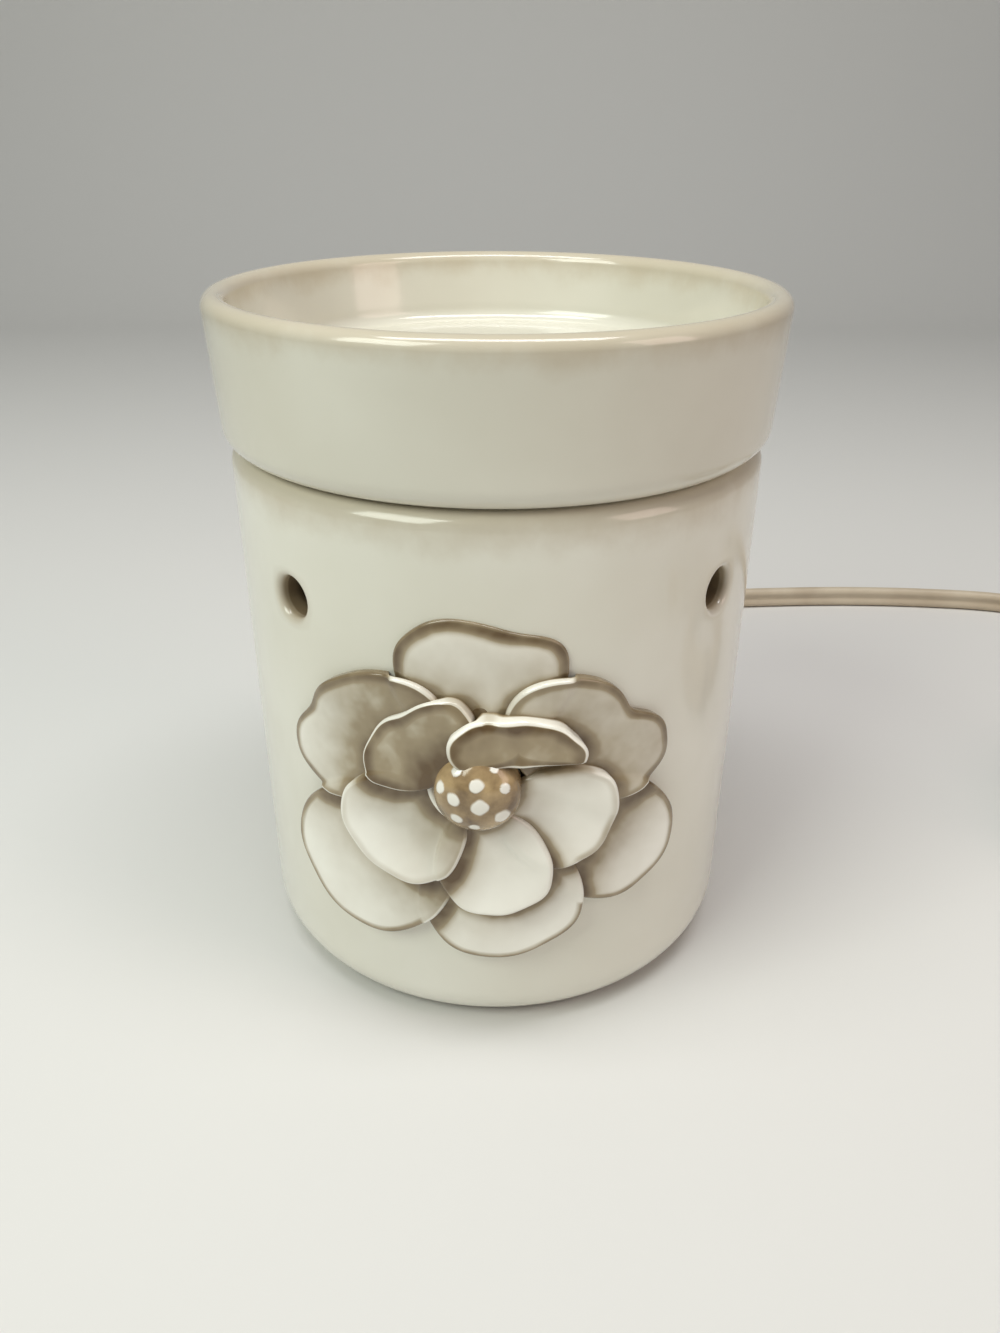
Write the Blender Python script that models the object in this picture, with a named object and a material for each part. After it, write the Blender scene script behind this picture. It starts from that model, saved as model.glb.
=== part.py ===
"""Electric wax warmer: a glazed ceramic body with a flower on its front and a lift-off wax dish.

Inside stands a small globe lamp in a screw lamp holder. A flat twin cord with a roller switch, a tied
coil and a plug lies on the table behind it. Every object is one real piece. Units are metres, +Z is up
and the flower faces -Y.
"""

import math
from typing import NamedTuple

import bmesh
import bpy
import numpy as np

MM = 0.001
TOUCH_GAP = 0.3 * MM

# Ceramic body
BODY_RADIUS = 52.9 * MM
BODY_HEIGHT = 112.2 * MM
BODY_WALL = 5.5 * MM
SHOULDER_ROUND = 3.4 * MM
RIM_INNER_ROUND = 0.8 * MM
FOOT_ROUND = 9.7 * MM
FOOT_LAND = 5.0 * MM
WIRING_DEPTH = 12.0 * MM
FLOOR_THICKNESS = 5.0 * MM
FLOOR_COVE = 5.0 * MM

# Vent holes, a front pair and a rear pair
VENT_RADIUS = 3.9 * MM
VENT_FLARE = 1.3 * MM
VENT_HEIGHT = 91.0 * MM
VENT_TURN = math.radians(3.2)
VENT_SPREAD = math.radians(48.0)

# Wax dish
DISH_HEIGHT = 27.5 * MM
DISH_OVERHANG = 2.4 * MM
DISH_DRAFT = 1.2 * MM
DISH_WALL = 4.8 * MM
DISH_INNER_DRAFT = 2.0 * MM
DISH_BASE_ROUND = 4.2 * MM
DISH_DEPTH = 14.7 * MM
DISH_FLOOR = 5.0 * MM
DISH_COVE = 3.2 * MM
SPIGOT_DEPTH = 5.5 * MM
SPIGOT_WALL = 4.5 * MM
SPIGOT_CLEARANCE = 0.8 * MM

# Flower on the front wall
FLOWER_TURN = math.radians(-3.4)
FLOWER_HEIGHT = 63.3 * MM
FLOWER_CORE_RADIUS = 8.9 * MM
FLOWER_CORE_HEIGHT = 3.4 * MM
BUTTON_RADIUS = 7.8 * MM
BUTTON_SEAT = 1.6 * MM
BUTTON_HEIGHT = 10.4 * MM

# Lamp holder, clamped through the ceramic floor by its flange and a ring nut
HOLDER_RADIUS = 13.0 * MM
HOLDER_STAND = 29.0 * MM
HOLDER_CLEARANCE = 0.8 * MM
FLANGE_RADIUS = 21.0 * MM
FLANGE_THICKNESS = 3.5 * MM
RING_NUT_WIDTH = 6.0 * MM
RING_NUT_HEIGHT = 5.0 * MM
SOCKET_DEPTH = 22.0 * MM
SHELL_WALL = 0.8 * MM
CONTACT_RADIUS = 3.0 * MM
CONTACT_THICKNESS = 1.2 * MM
RIVET_RADIUS = 1.2 * MM

# Lamp
CAP_RADIUS = 5.95 * MM
CAP_LENGTH = 13.2 * MM
CAP_WALL = 0.65 * MM
TIP_RADIUS = 2.3 * MM
TIP_HEIGHT = 1.4 * MM
INSULATOR_HEIGHT = 2.4 * MM
GLASS_WALL = 0.8 * MM
NECK_LENGTH = 12.6 * MM
GLOBE_LIFT = 28.5 * MM
GLOBE_RADIUS = 25.0 * MM
STEM_RADIUS = 2.0 * MM
STEM_LENGTH = 24.0 * MM
FILAMENT_WIRE = 0.35 * MM
FILAMENT_SPAN = 18.0 * MM
FILAMENT_RISE = 13.0 * MM

# Terminals and leads under the lamp holder
TERMINAL_OFFSET = 8.0 * MM
TERMINAL_LENGTH = 6.0 * MM
TERMINAL_WIDTH = 5.0 * MM
TERMINAL_HEIGHT = 3.0 * MM
SCREW_SHANK = 1.2 * MM
SCREW_HEAD_RADIUS = 2.4 * MM
SCREW_HEAD_HEIGHT = 1.2 * MM
LEAD_RADIUS = 1.15 * MM

# Cover under the foot
COVER_RECESS = 0.9 * MM
COVER_THICKNESS = 2.0 * MM
COVER_CLEARANCE = 0.4 * MM
POST_RADIUS = 3.2 * MM
POST_OFFSET = 16.0 * MM

# Flat twin cord, standing on its narrow edge
CORD_WIDTH = 7.3 * MM
CORD_THICKNESS = 3.7 * MM
NOTCH_WIDTH = 8.0 * MM
NOTCH_HEIGHT = 9.2 * MM
RELIEF_TAIL = 22.0 * MM
COIL_RADIUS = 44.0 * MM
COIL_BACK = 74.0 * MM
COIL_SIDE_GAP = 0.6 * MM
COIL_LAYER_GAP = 0.6 * MM
COIL_TURNS = 6
COIL_STEPS = 24
TIE_THICKNESS = 0.6 * MM
TIE_WIDTH = 6.0 * MM
TIE_SLACK = 0.8 * MM

# Roller switch in the cord
SWITCH_PLACE = (234.0 * MM, 82.0 * MM)
SWITCH_LENGTH = 56.0 * MM
SWITCH_WIDTH = 22.0 * MM
SWITCH_HEIGHT = 15.3 * MM
SWITCH_SPLIT = 7.5 * MM
SWITCH_WALL = 2.0 * MM
SWITCH_EDGE = 1.6 * MM
ROLLER_RADIUS = 7.2 * MM
ROLLER_WIDTH = 6.0 * MM
ROLLER_PROUD = 2.3 * MM
ROLLER_RIDGES = 18
ROLLER_RIDGE = 0.4 * MM
AXLE_RADIUS = 1.2 * MM
AXLE_LENGTH = 14.0 * MM
SADDLE_WIDTH = 2.0 * MM
SADDLE_LENGTH = 5.0 * MM
SWITCH_SCREW_OFFSET = 18.0 * MM
SWITCH_BOSS_RADIUS = 3.0 * MM
SWITCH_CONTACT_OFFSET = 11.0 * MM
SWITCH_CONTACT_WIDTH = 6.0 * MM
SWITCH_CONTACT_HEIGHT = 6.0 * MM
SWITCH_CONTACT_FOOT = 3.5 * MM
STRIP_THICKNESS = 0.8 * MM

# Flat two-blade plug
PLUG_LENGTH = 32.0 * MM
PLUG_WIDTH = 26.0 * MM
PLUG_HEIGHT = 13.0 * MM
PLUG_NECK = 9.0 * MM
PLUG_BACK = 43.0 * MM
BLADE_SPACING = 12.7 * MM
BLADE_LENGTH = 17.0 * MM
BLADE_ROOT = 6.0 * MM
BLADE_THICKNESS = 1.5 * MM
BLADE_WIDE = 7.9 * MM
BLADE_NARROW = 6.35 * MM
BLADE_HOLE = 1.6 * MM

TABLE_CLEARANCE = 0.2 * MM
TURN_STEPS = 48
SMALL_STEPS = 20
EXTRA = 2.0 * MM


# Petal tables count in this unit
PETAL_UNIT = 1.0 * MM
PETAL_ROOT = 5.0
PETAL_CURVE = 1.3
PETAL_BED = 1.0
NO_CHORD = -100.0


class Petal(NamedTuple):
    """One petal in the flower's plane.

    Its direction is in degrees from the right. Lengths are in petal units: reach, half width, height at the
    root, rise to the tip, the root's shift to its left, and the height of a straight lower edge, if any.
    """

    direction: float
    reach: float
    half_width: float
    base: float
    rise: float
    shift: float = 0.0
    chord: float = NO_CHORD


OUTER_PETALS = (
    Petal(89, 31.8, 14.2, 2.0, 0.2),
    Petal(170, 34.4, 13.6, 2.4, 1.4, -5.0),
    Petal(226, 45.4, 15.8, 1.6, 1.8),
    Petal(280, 41.0, 14.0, 1.4, 1.8),
    Petal(325, 42.8, 12.3, 1.2, 1.8),
    Petal(14, 33.4, 13.4, 2.4, 1.8, 4.5),
)
INNER_PETALS = (
    Petal(144, 20.2, 9.3, 2.4, 2.6),
    Petal(60, 16.0, 11.2, 6.2, 0.4, 0.0, 5.6),
    Petal(221, 25.2, 11.8, 2.2, 4.2),
    Petal(278, 27.8, 9.6, 2.0, 4.0),
    Petal(330, 25.4, 10.2, 2.0, 3.6),
)


class PetalForm(NamedTuple):
    """How far a row's sides cup forward, in petal units, and how much broader the outer end is."""

    cup: float
    egg: float


OUTER_FORM = PetalForm(0.6, 0.28)
INNER_FORM = PetalForm(1.0, 0.2)

# Heights that follow from the sizes above
FLOOR_TOP = WIRING_DEPTH + FLOOR_THICKNESS
BODY_BORE = BODY_RADIUS - BODY_WALL
FOOT_BORE = BODY_RADIUS - FOOT_ROUND - FOOT_LAND
DISH_SEAT = BODY_HEIGHT + TOUCH_GAP
FLANGE_TOP = WIRING_DEPTH - TOUCH_GAP
FLANGE_BOTTOM = FLANGE_TOP - FLANGE_THICKNESS
HOLDER_TOP = FLOOR_TOP + HOLDER_STAND
SOCKET_FLOOR = HOLDER_TOP - SOCKET_DEPTH
SHELL_BORE = CAP_RADIUS + TOUCH_GAP
SHELL_RADIUS = SHELL_BORE + SHELL_WALL
CONTACT_TOP = SOCKET_FLOOR + TOUCH_GAP + CONTACT_THICKNESS
TIP_BOTTOM = CONTACT_TOP + TOUCH_GAP
INSULATOR_BOTTOM = TIP_BOTTOM + TIP_HEIGHT + TOUCH_GAP
CAP_BOTTOM = INSULATOR_BOTTOM + INSULATOR_HEIGHT + TOUCH_GAP
NECK_RADIUS = CAP_RADIUS - CAP_WALL - TOUCH_GAP
NECK_BOTTOM = CAP_BOTTOM + CAP_WALL + TOUCH_GAP
COVER_TOP = COVER_RECESS + COVER_THICKNESS
TERMINAL_TOP = FLANGE_BOTTOM - TOUCH_GAP
CORD_CENTRE = 0.1 * MM + CORD_WIDTH / 2
COIL_PITCH = CORD_THICKNESS + COIL_SIDE_GAP
COIL_LAYER = CORD_WIDTH + COIL_LAYER_GAP
COIL_BOTTOM = TIE_THICKNESS + 2 * TOUCH_GAP
SWITCH_BASE = TABLE_CLEARANCE
SWITCH_TOP = SWITCH_BASE + SWITCH_HEIGHT
SWITCH_LOWER_TOP = SWITCH_BASE + SWITCH_SPLIT
SWITCH_CORD_HEIGHT = SWITCH_BASE + SWITCH_HEIGHT / 2
AXLE_HEIGHT = SWITCH_TOP + ROLLER_PROUD - ROLLER_RADIUS
COIL_PLACE = (SWITCH_PLACE[0] - COIL_RADIUS, SWITCH_PLACE[1] - COIL_BACK)
PLUG_PLACE = (SWITCH_PLACE[0], COIL_PLACE[1] - PLUG_BACK)
PLUG_CENTRE = TABLE_CLEARANCE + PLUG_HEIGHT / 2
RELIEF_TIP = BODY_RADIUS + RELIEF_TAIL
RELIEF_INNER = FOOT_BORE - 4.7 * MM
RELIEF_CENTRE = NOTCH_HEIGHT / 2


# Finishes

def finish(name, colour, roughness, metallic=0.0, transmission=0.0):
    """A Principled material in one colour."""
    made = bpy.data.materials.new(name)
    made.use_nodes = True
    shader = made.node_tree.nodes["Principled BSDF"]
    shader.inputs["Base Color"].default_value = (*colour, 1.0)
    shader.inputs["Roughness"].default_value = roughness
    shader.inputs["Metallic"].default_value = metallic
    shader.inputs["Transmission Weight"].default_value = transmission
    return made


def brass(name):
    return finish(name, (0.72, 0.52, 0.22), 0.3, 1.0)


def steel(name):
    return finish(name, (0.6, 0.6, 0.6), 0.35, 1.0)


def cream_plastic(name):
    return finish(name, (0.66, 0.58, 0.46), 0.4)


def dark_plastic(name):
    return finish(name, (0.03, 0.03, 0.03), 0.5)


# Helpers that make objects

def clear_scene():
    for old in list(bpy.data.objects):
        bpy.data.objects.remove(old, do_unlink=True)


def place(name, location, rotation=(0.0, 0.0, 0.0)):
    """An empty that carries the pieces of one sub-assembly."""
    empty = bpy.data.objects.new(name, None)
    empty.location = location
    empty.rotation_euler = rotation
    bpy.context.scene.collection.objects.link(empty)
    return empty


def piece(name, shape, surface, carrier=None):
    """An object from a bmesh, shaded smooth with its sharp edges kept."""
    bmesh.ops.recalc_face_normals(shape, faces=shape.faces)
    mesh = bpy.data.meshes.new(name)
    shape.to_mesh(mesh)
    shape.free()
    mesh.shade_smooth()
    mesh.set_sharp_from_angle(angle=math.radians(40))
    mesh.materials.append(surface)
    made = bpy.data.objects.new(name, mesh)
    made.parent = carrier
    bpy.context.scene.collection.objects.link(made)
    return made


def helper(name, shape, carrier=None):
    """A cutter or a blank, which is left out of the object."""
    made = piece(name, shape, bpy.data.materials.new(name), carrier)
    made.hide_render = True
    made.display_type = "WIRE"
    return made


def combine(target, other, operation):
    modifier = target.modifiers.new(other.name, "BOOLEAN")
    modifier.operation = operation
    modifier.solver = "EXACT"
    modifier.object = other


def cut(target, *others):
    for other in others:
        combine(target, other, "DIFFERENCE")


def add(target, *others):
    for other in others:
        combine(target, other, "UNION")


def arc(centre_x, centre_z, radius, start, end, steps):
    """Points of a round stretch, in degrees from +X."""
    angles = [math.radians(start + (end - start) * i / steps) for i in range(steps + 1)]
    return [(centre_x + radius * math.cos(a), centre_z + radius * math.sin(a)) for a in angles]


def turned(profile, steps=TURN_STEPS):
    """A closed profile of (radius, height) points, turned about Z."""
    shape = bmesh.new()
    corners = [shape.verts.new((max(r, 0.0), 0.0, z)) for r, z in profile]
    for start, end in zip(corners, corners[1:] + corners[:1]):
        if start.co.x > 0 or end.co.x > 0:
            shape.edges.new((start, end))
    bmesh.ops.spin(
        shape, geom=corners + list(shape.edges), cent=(0, 0, 0), axis=(0, 0, 1),
        angle=math.tau, steps=steps, use_merge=True,
    )
    bmesh.ops.remove_doubles(shape, verts=shape.verts, dist=1e-6)
    return shape


def rod(radius, low, high, steps=SMALL_STEPS):
    return turned([(0, high), (radius, high), (radius, low), (0, low)], steps)


def block(low, high):
    """A box between two corners."""
    shape = bmesh.new()
    bmesh.ops.create_cube(shape, size=1.0)
    for vert in shape.verts:
        vert.co = [b if c > 0 else a for a, b, c in zip(low, high, vert.co)]
    return shape


def stacked(rings):
    """A solid skinned over rings of equal point counts, closed at both ends."""
    shape = bmesh.new()
    rows = [[shape.verts.new(p) for p in ring] for ring in rings]
    for lower, upper in zip(rows, rows[1:]):
        for i in range(len(lower)):
            shape.faces.new((lower[i - 1], lower[i], upper[i], upper[i - 1]))
    shape.faces.new(rows[0])
    shape.faces.new(rows[-1])
    return shape


def band(outer, inner, low, high):
    """A closed ring between two outlines of equal point counts, from low to high along Z."""
    shape = bmesh.new()
    loops = [
        [shape.verts.new((x, y, z)) for x, y in outline]
        for outline, z in ((outer, low), (outer, high), (inner, high), (inner, low))
    ]
    for first, second in zip(loops, loops[1:] + loops[:1]):
        for i in range(len(first)):
            shape.faces.new((first[i - 1], first[i], second[i], second[i - 1]))
    return shape


def circle(radius, steps):
    angles = [math.tau * i / steps for i in range(steps)]
    return [(radius * math.cos(a), radius * math.sin(a)) for a in angles]


def ridged(radius, ridges, depth):
    """An outline with a flat-topped ridge and a groove for each count."""
    outline = []
    for i in range(4 * ridges):
        reach = radius if i % 4 < 2 else radius - depth
        angle = math.tau * i / (4 * ridges)
        outline.append((reach * math.cos(angle), reach * math.sin(angle)))
    return outline


def stadium(length, width, inset, steps=8):
    """An outline with round ends, long along Y, moved inwards by the inset."""
    radius = width / 2 - inset
    straight = length / 2 - width / 2
    outline = []
    for sign in (1, -1):
        for i in range(steps + 1):
            angle = math.pi * i / steps + (0 if sign > 0 else math.pi)
            outline.append((radius * math.cos(angle), sign * straight + radius * math.sin(angle)))
    return outline


def soft_section(width, height, steps=16):
    """A rounded rectangle: a superellipse of power four."""
    outline = []
    for i in range(steps):
        c = math.cos(math.tau * (i + 0.5) / steps)
        s = math.sin(math.tau * (i + 0.5) / steps)
        across = width / 2 * math.copysign(abs(c) ** 0.5, c)
        outline.append((across, height / 2 * math.copysign(abs(s) ** 0.5, s)))
    return outline


def wire(name, points, surface, radius, resolution=1):
    """A round tube along points."""
    made = route_curve(name, points, surface)
    made.data.bevel_depth = radius
    made.data.bevel_resolution = resolution
    return made


def route_curve(name, points, surface):
    curve = bpy.data.curves.new(name, "CURVE")
    curve.dimensions = "3D"
    curve.fill_mode = "FULL"
    curve.use_fill_caps = True
    curve.twist_mode = "Z_UP"
    spline = curve.splines.new("POLY")
    spline.points.add(len(points) - 1)
    for spot, point in zip(spline.points, points):
        spot.co = (*point, 1.0)
    curve.materials.append(surface)
    made = bpy.data.objects.new(name, curve)
    bpy.context.scene.collection.objects.link(made)
    return made


def flat_cord(name, points):
    """The twin cord's outer form: a flat section with round edges, standing upright."""
    made = route_curve(name, points, cream_plastic(name))
    made.data.bevel_depth = CORD_THICKNESS / 2
    made.data.extrude = (CORD_WIDTH - CORD_THICKNESS) / 2
    made.data.bevel_resolution = 1
    return made


def smooth_route(points, spacing):
    """Points an even way apart on a smooth curve. A route's first and last stretches stay straight."""
    route = np.array(points, float)
    share = np.linspace(0, 1, 24, endpoint=False)[:, None]
    fine = []
    for before, start, end, after in zip(route, route[1:], route[2:], route[3:]):
        fine.append(0.5 * (
            2 * start + (end - before) * share
            + (2 * before - 5 * start + 4 * end - after) * share**2
            + (3 * start - before - 3 * end + after) * share**3
        ))
    fine = np.vstack(fine + [route[-2:-1]])
    along = np.concatenate([[0], np.cumsum(np.linalg.norm(np.diff(fine, axis=0), axis=1))])
    wanted = np.linspace(0, along[-1], max(3, round(along[-1] / spacing) + 1))
    middle = np.stack([np.interp(wanted, along, fine[:, k]) for k in range(3)], axis=1)
    return [tuple(point) for point in np.vstack([route[:1], middle, route[-1:]])]


def route_length(points):
    return float(np.linalg.norm(np.diff(np.array(points), axis=0), axis=1).sum())


# Ceramic body

def body_profile():
    land = BODY_RADIUS - FOOT_ROUND
    rim = BODY_RADIUS - SHOULDER_ROUND
    hole = HOLDER_RADIUS + HOLDER_CLEARANCE
    return (
        arc(rim, BODY_HEIGHT - SHOULDER_ROUND, SHOULDER_ROUND, 90, 0, 4)
        + arc(land, FOOT_ROUND, FOOT_ROUND, 0, -90, 6)
        + [(FOOT_BORE, 0), (FOOT_BORE, WIRING_DEPTH), (hole, WIRING_DEPTH), (hole, FLOOR_TOP)]
        + arc(BODY_BORE - FLOOR_COVE, FLOOR_TOP + FLOOR_COVE, FLOOR_COVE, -90, 0, 3)
        + arc(BODY_BORE + RIM_INNER_ROUND, BODY_HEIGHT - RIM_INNER_ROUND, RIM_INNER_ROUND, 180, 90, 2)
    )


def vent_profile():
    """A round hole whose outer edge flares softly, along the hole's own axis."""
    inside = BODY_BORE - EXTRA
    return [
        (0, BODY_RADIUS + VENT_FLARE),
        (VENT_RADIUS + 2.2 * VENT_FLARE, BODY_RADIUS + VENT_FLARE),
        (VENT_RADIUS + VENT_FLARE, BODY_RADIUS),
        (VENT_RADIUS + 0.35 * VENT_FLARE, BODY_RADIUS - 0.7 * VENT_FLARE),
        (VENT_RADIUS, BODY_RADIUS - 1.6 * VENT_FLARE),
        (VENT_RADIUS, inside),
        (0, inside),
    ]


def make_body():
    glaze = finish("cream_glaze", (0.78, 0.75, 0.66), 0.12)
    body = piece("body_shell", turned(body_profile()), glaze)
    turns = (VENT_SPREAD, -VENT_SPREAD, math.pi - VENT_SPREAD, VENT_SPREAD - math.pi)
    for number, angle in enumerate(turns):
        carrier = place(f"vent_place_{number}", (0, 0, VENT_HEIGHT), (math.pi / 2, 0, VENT_TURN + angle))
        cut(body, helper(f"vent_cutter_{number}", turned(vent_profile(), SMALL_STEPS), carrier))
    notch = block(
        (-NOTCH_WIDTH / 2, FOOT_BORE - FOOT_LAND, -EXTRA),
        (NOTCH_WIDTH / 2, BODY_RADIUS + EXTRA, NOTCH_HEIGHT),
    )
    cut(body, helper("notch_cutter", notch))


# Wax dish

def dish_profile():
    lip = DISH_SEAT + DISH_HEIGHT
    rim = BODY_RADIUS + DISH_OVERHANG
    base = rim - DISH_DRAFT
    lip_round = DISH_WALL / 2
    floor = lip - DISH_DEPTH
    inner = rim - DISH_WALL - DISH_INNER_DRAFT
    spigot = BODY_BORE - SPIGOT_CLEARANCE
    hollow = spigot - SPIGOT_WALL
    spigot_round = SPIGOT_WALL / 3
    foot = DISH_SEAT - SPIGOT_DEPTH
    underside = floor - DISH_FLOOR
    return (
        arc(rim - lip_round, lip - lip_round, lip_round, 90, 0, 4)
        + arc(base - DISH_BASE_ROUND, DISH_SEAT + DISH_BASE_ROUND, DISH_BASE_ROUND, 0, -90, 4)
        + [(spigot, DISH_SEAT)]
        + arc(spigot - spigot_round, foot + spigot_round, spigot_round, 0, -90, 2)
        + [(hollow, foot), (hollow, underside), (0, underside), (0, floor)]
        + arc(inner - DISH_COVE, floor + DISH_COVE, DISH_COVE, -90, 0, 4)
        + arc(rim - lip_round, lip - lip_round, lip_round, 180, 90, 4)[:-1]
    )


def make_dish():
    axis = place("dish_axis", (0, 0, 0))
    piece("wax_dish", turned(dish_profile()), finish("dish_glaze", (0.78, 0.75, 0.67), 0.12), axis)


# Flower

def on_wall(right, up, height):
    """The place of a flower point: along the wall, up it, and out from it."""
    angle = FLOWER_TURN + right / BODY_RADIUS
    reach = BODY_RADIUS + height
    return (reach * math.sin(angle), -reach * math.cos(angle), FLOWER_HEIGHT + up)


def petal_middle(petal):
    """The point (along, across) that a petal's rings are drawn round."""
    share = 0.55
    return (PETAL_ROOT + share * (petal.reach - PETAL_ROOT), (1 - share) * petal.shift)


def upward(petal, along, across):
    turn = math.radians(petal.direction)
    return along * math.sin(turn) + across * math.cos(turn)


def petal_outline(petal, egg, steps):
    """An egg with its broad end outwards, as (along, across) points, cut straight along its chord, if any."""
    middle = petal_middle(petal)
    middle_up = upward(petal, *middle)
    outline = []
    for i in range(steps):
        angle = math.tau * i / steps
        c = math.cos(angle)
        along = PETAL_ROOT + (petal.reach - PETAL_ROOT) * (1 - c) / 2
        across = petal.half_width * math.sin(angle) * (1 - egg * c) + petal.shift * (1 + c) / 2
        up = upward(petal, along, across)
        keep = 1.0
        if up < petal.chord:
            keep = (middle_up - petal.chord) / (middle_up - up)
        outline.append((middle[0] + keep * (along - middle[0]), middle[1] + keep * (across - middle[1])))
    return outline


def petal_solid(petal, form, steps=22, rings=(0.5, 0.85, 1.0)):
    """A cupped front that rises to its tip and to its sides, on a back that lies inside the wall."""
    outline = petal_outline(petal, form.egg, steps)
    middle = petal_middle(petal)
    turn = math.radians(petal.direction)

    def spot(along, across, front):
        share = max(0.0, (along - PETAL_ROOT) / (petal.reach - PETAL_ROOT))
        side = (across - petal.shift * (1 - share)) / petal.half_width
        height = petal.base + petal.rise * share**PETAL_CURVE + form.cup * side * side * share
        if not front:
            height = -PETAL_BED
        right = along * math.cos(turn) - across * math.sin(turn)
        up = upward(petal, along, across)
        return on_wall(right * PETAL_UNIT, up * PETAL_UNIT, height * PETAL_UNIT)

    shape = bmesh.new()
    skins = []
    for front in (True, False):
        rows = [
            [
                shape.verts.new(spot(middle[0] + f * (a - middle[0]), middle[1] + f * (b - middle[1]), front))
                for a, b in outline
            ]
            for f in rings
        ]
        centre = shape.verts.new(spot(*middle, front))
        for i in range(steps):
            shape.faces.new((centre, rows[0][i - 1], rows[0][i]))
            for inner, outer in zip(rows, rows[1:]):
                shape.faces.new((inner[i - 1], outer[i - 1], outer[i], inner[i]))
        skins.append(rows[-1])
    front, back = skins
    for i in range(steps):
        shape.faces.new((front[i - 1], back[i - 1], back[i], front[i]))
    return shape


def make_flower():
    carrier = place(
        "flower_place",
        (BODY_RADIUS * math.sin(FLOWER_TURN), -BODY_RADIUS * math.cos(FLOWER_TURN), FLOWER_HEIGHT),
        (math.pi / 2, 0, FLOWER_TURN),
    )
    sepia = finish("petal_glaze", (0.72, 0.68, 0.6), 0.15)
    core = rod(FLOWER_CORE_RADIUS, -EXTRA, FLOWER_CORE_HEIGHT, TURN_STEPS // 2)
    petals = piece("flower_petals", core, sepia, carrier)
    blanks = bpy.data.collections.new("petal_blanks")
    bpy.context.scene.collection.children.link(blanks)
    for row, form in ((OUTER_PETALS, OUTER_FORM), (INNER_PETALS, INNER_FORM)):
        for petal in row:
            blanks.objects.link(helper(f"petal_blank_{petal.direction}", petal_solid(petal, form)))
    joined = petals.modifiers.new("petals", "BOOLEAN")
    joined.operation = "UNION"
    joined.solver = "EXACT"
    joined.operand_type = "COLLECTION"
    joined.collection = blanks
    pocket = rod(BUTTON_RADIUS + TOUCH_GAP, BUTTON_SEAT, BUTTON_HEIGHT + 4 * EXTRA, TURN_STEPS // 2)
    wall = rod(BODY_RADIUS + TOUCH_GAP, -EXTRA, BODY_HEIGHT, 2 * TURN_STEPS)
    cut(petals, helper("button_pocket", pocket, carrier), helper("wall_cutter", wall))
    seat = BUTTON_SEAT + TOUCH_GAP
    shoulder = seat + 0.3 * (BUTTON_HEIGHT - seat)
    dome = [
        (BUTTON_RADIUS * math.cos(a), shoulder + (BUTTON_HEIGHT - shoulder) * math.sin(a))
        for a in (math.pi / 2 * i / 5 for i in range(5, -1, -1))
    ]
    profile = dome + [(0.94 * BUTTON_RADIUS, seat), (0, seat)]
    brown = finish("button_glaze", (0.3, 0.2, 0.1), 0.2)
    piece("flower_button", turned(profile, TURN_STEPS // 2), brown, carrier)


# Lamp holder and what is fixed to it

def make_holder():
    bakelite = dark_plastic("holder_bakelite")
    bore = SHELL_RADIUS + TOUCH_GAP
    profile = [
        (HOLDER_RADIUS, HOLDER_TOP), (HOLDER_RADIUS, FLANGE_TOP), (FLANGE_RADIUS, FLANGE_TOP),
        (FLANGE_RADIUS, FLANGE_BOTTOM), (RIVET_RADIUS + TOUCH_GAP, FLANGE_BOTTOM),
        (RIVET_RADIUS + TOUCH_GAP, SOCKET_FLOOR), (bore, SOCKET_FLOOR), (bore, HOLDER_TOP),
    ]
    holder = piece("lamp_holder", turned(profile, TURN_STEPS // 2), bakelite)
    for side, sign in (("left", -1), ("right", 1)):
        carrier = place(f"post_place_{side}", (sign * POST_OFFSET, 0, 0))
        foot = COVER_TOP + TOUCH_GAP
        inside = FLANGE_BOTTOM + FLANGE_THICKNESS / 2
        hole = SCREW_SHANK + TOUCH_GAP
        post = [(POST_RADIUS, inside), (POST_RADIUS, foot), (hole, foot), (hole, inside)]
        add(holder, helper(f"post_{side}", turned(post, SMALL_STEPS), carrier))
    nut_bore = HOLDER_RADIUS + TOUCH_GAP
    outline = ridged(nut_bore + RING_NUT_WIDTH, 12, 0.8 * MM)
    nut_low = FLOOR_TOP + TOUCH_GAP
    nut = band(outline, circle(nut_bore, len(outline)), nut_low, nut_low + RING_NUT_HEIGHT)
    piece("holder_ring_nut", nut, dark_plastic("nut_bakelite"))
    low = SOCKET_FLOOR + TOUCH_GAP
    high = HOLDER_TOP - TOUCH_GAP
    shell = [(SHELL_RADIUS, high), (SHELL_RADIUS, low), (SHELL_BORE, low), (SHELL_BORE, high)]
    piece("holder_shell", turned(shell, SMALL_STEPS), brass("shell_brass"))
    contact = [
        (0, CONTACT_TOP), (CONTACT_RADIUS, CONTACT_TOP), (CONTACT_RADIUS, low), (RIVET_RADIUS, low),
        (RIVET_RADIUS, FLANGE_BOTTOM + TOUCH_GAP), (0, FLANGE_BOTTOM + TOUCH_GAP),
    ]
    piece("holder_contact", turned(contact, SMALL_STEPS), brass("contact_brass"))


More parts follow.
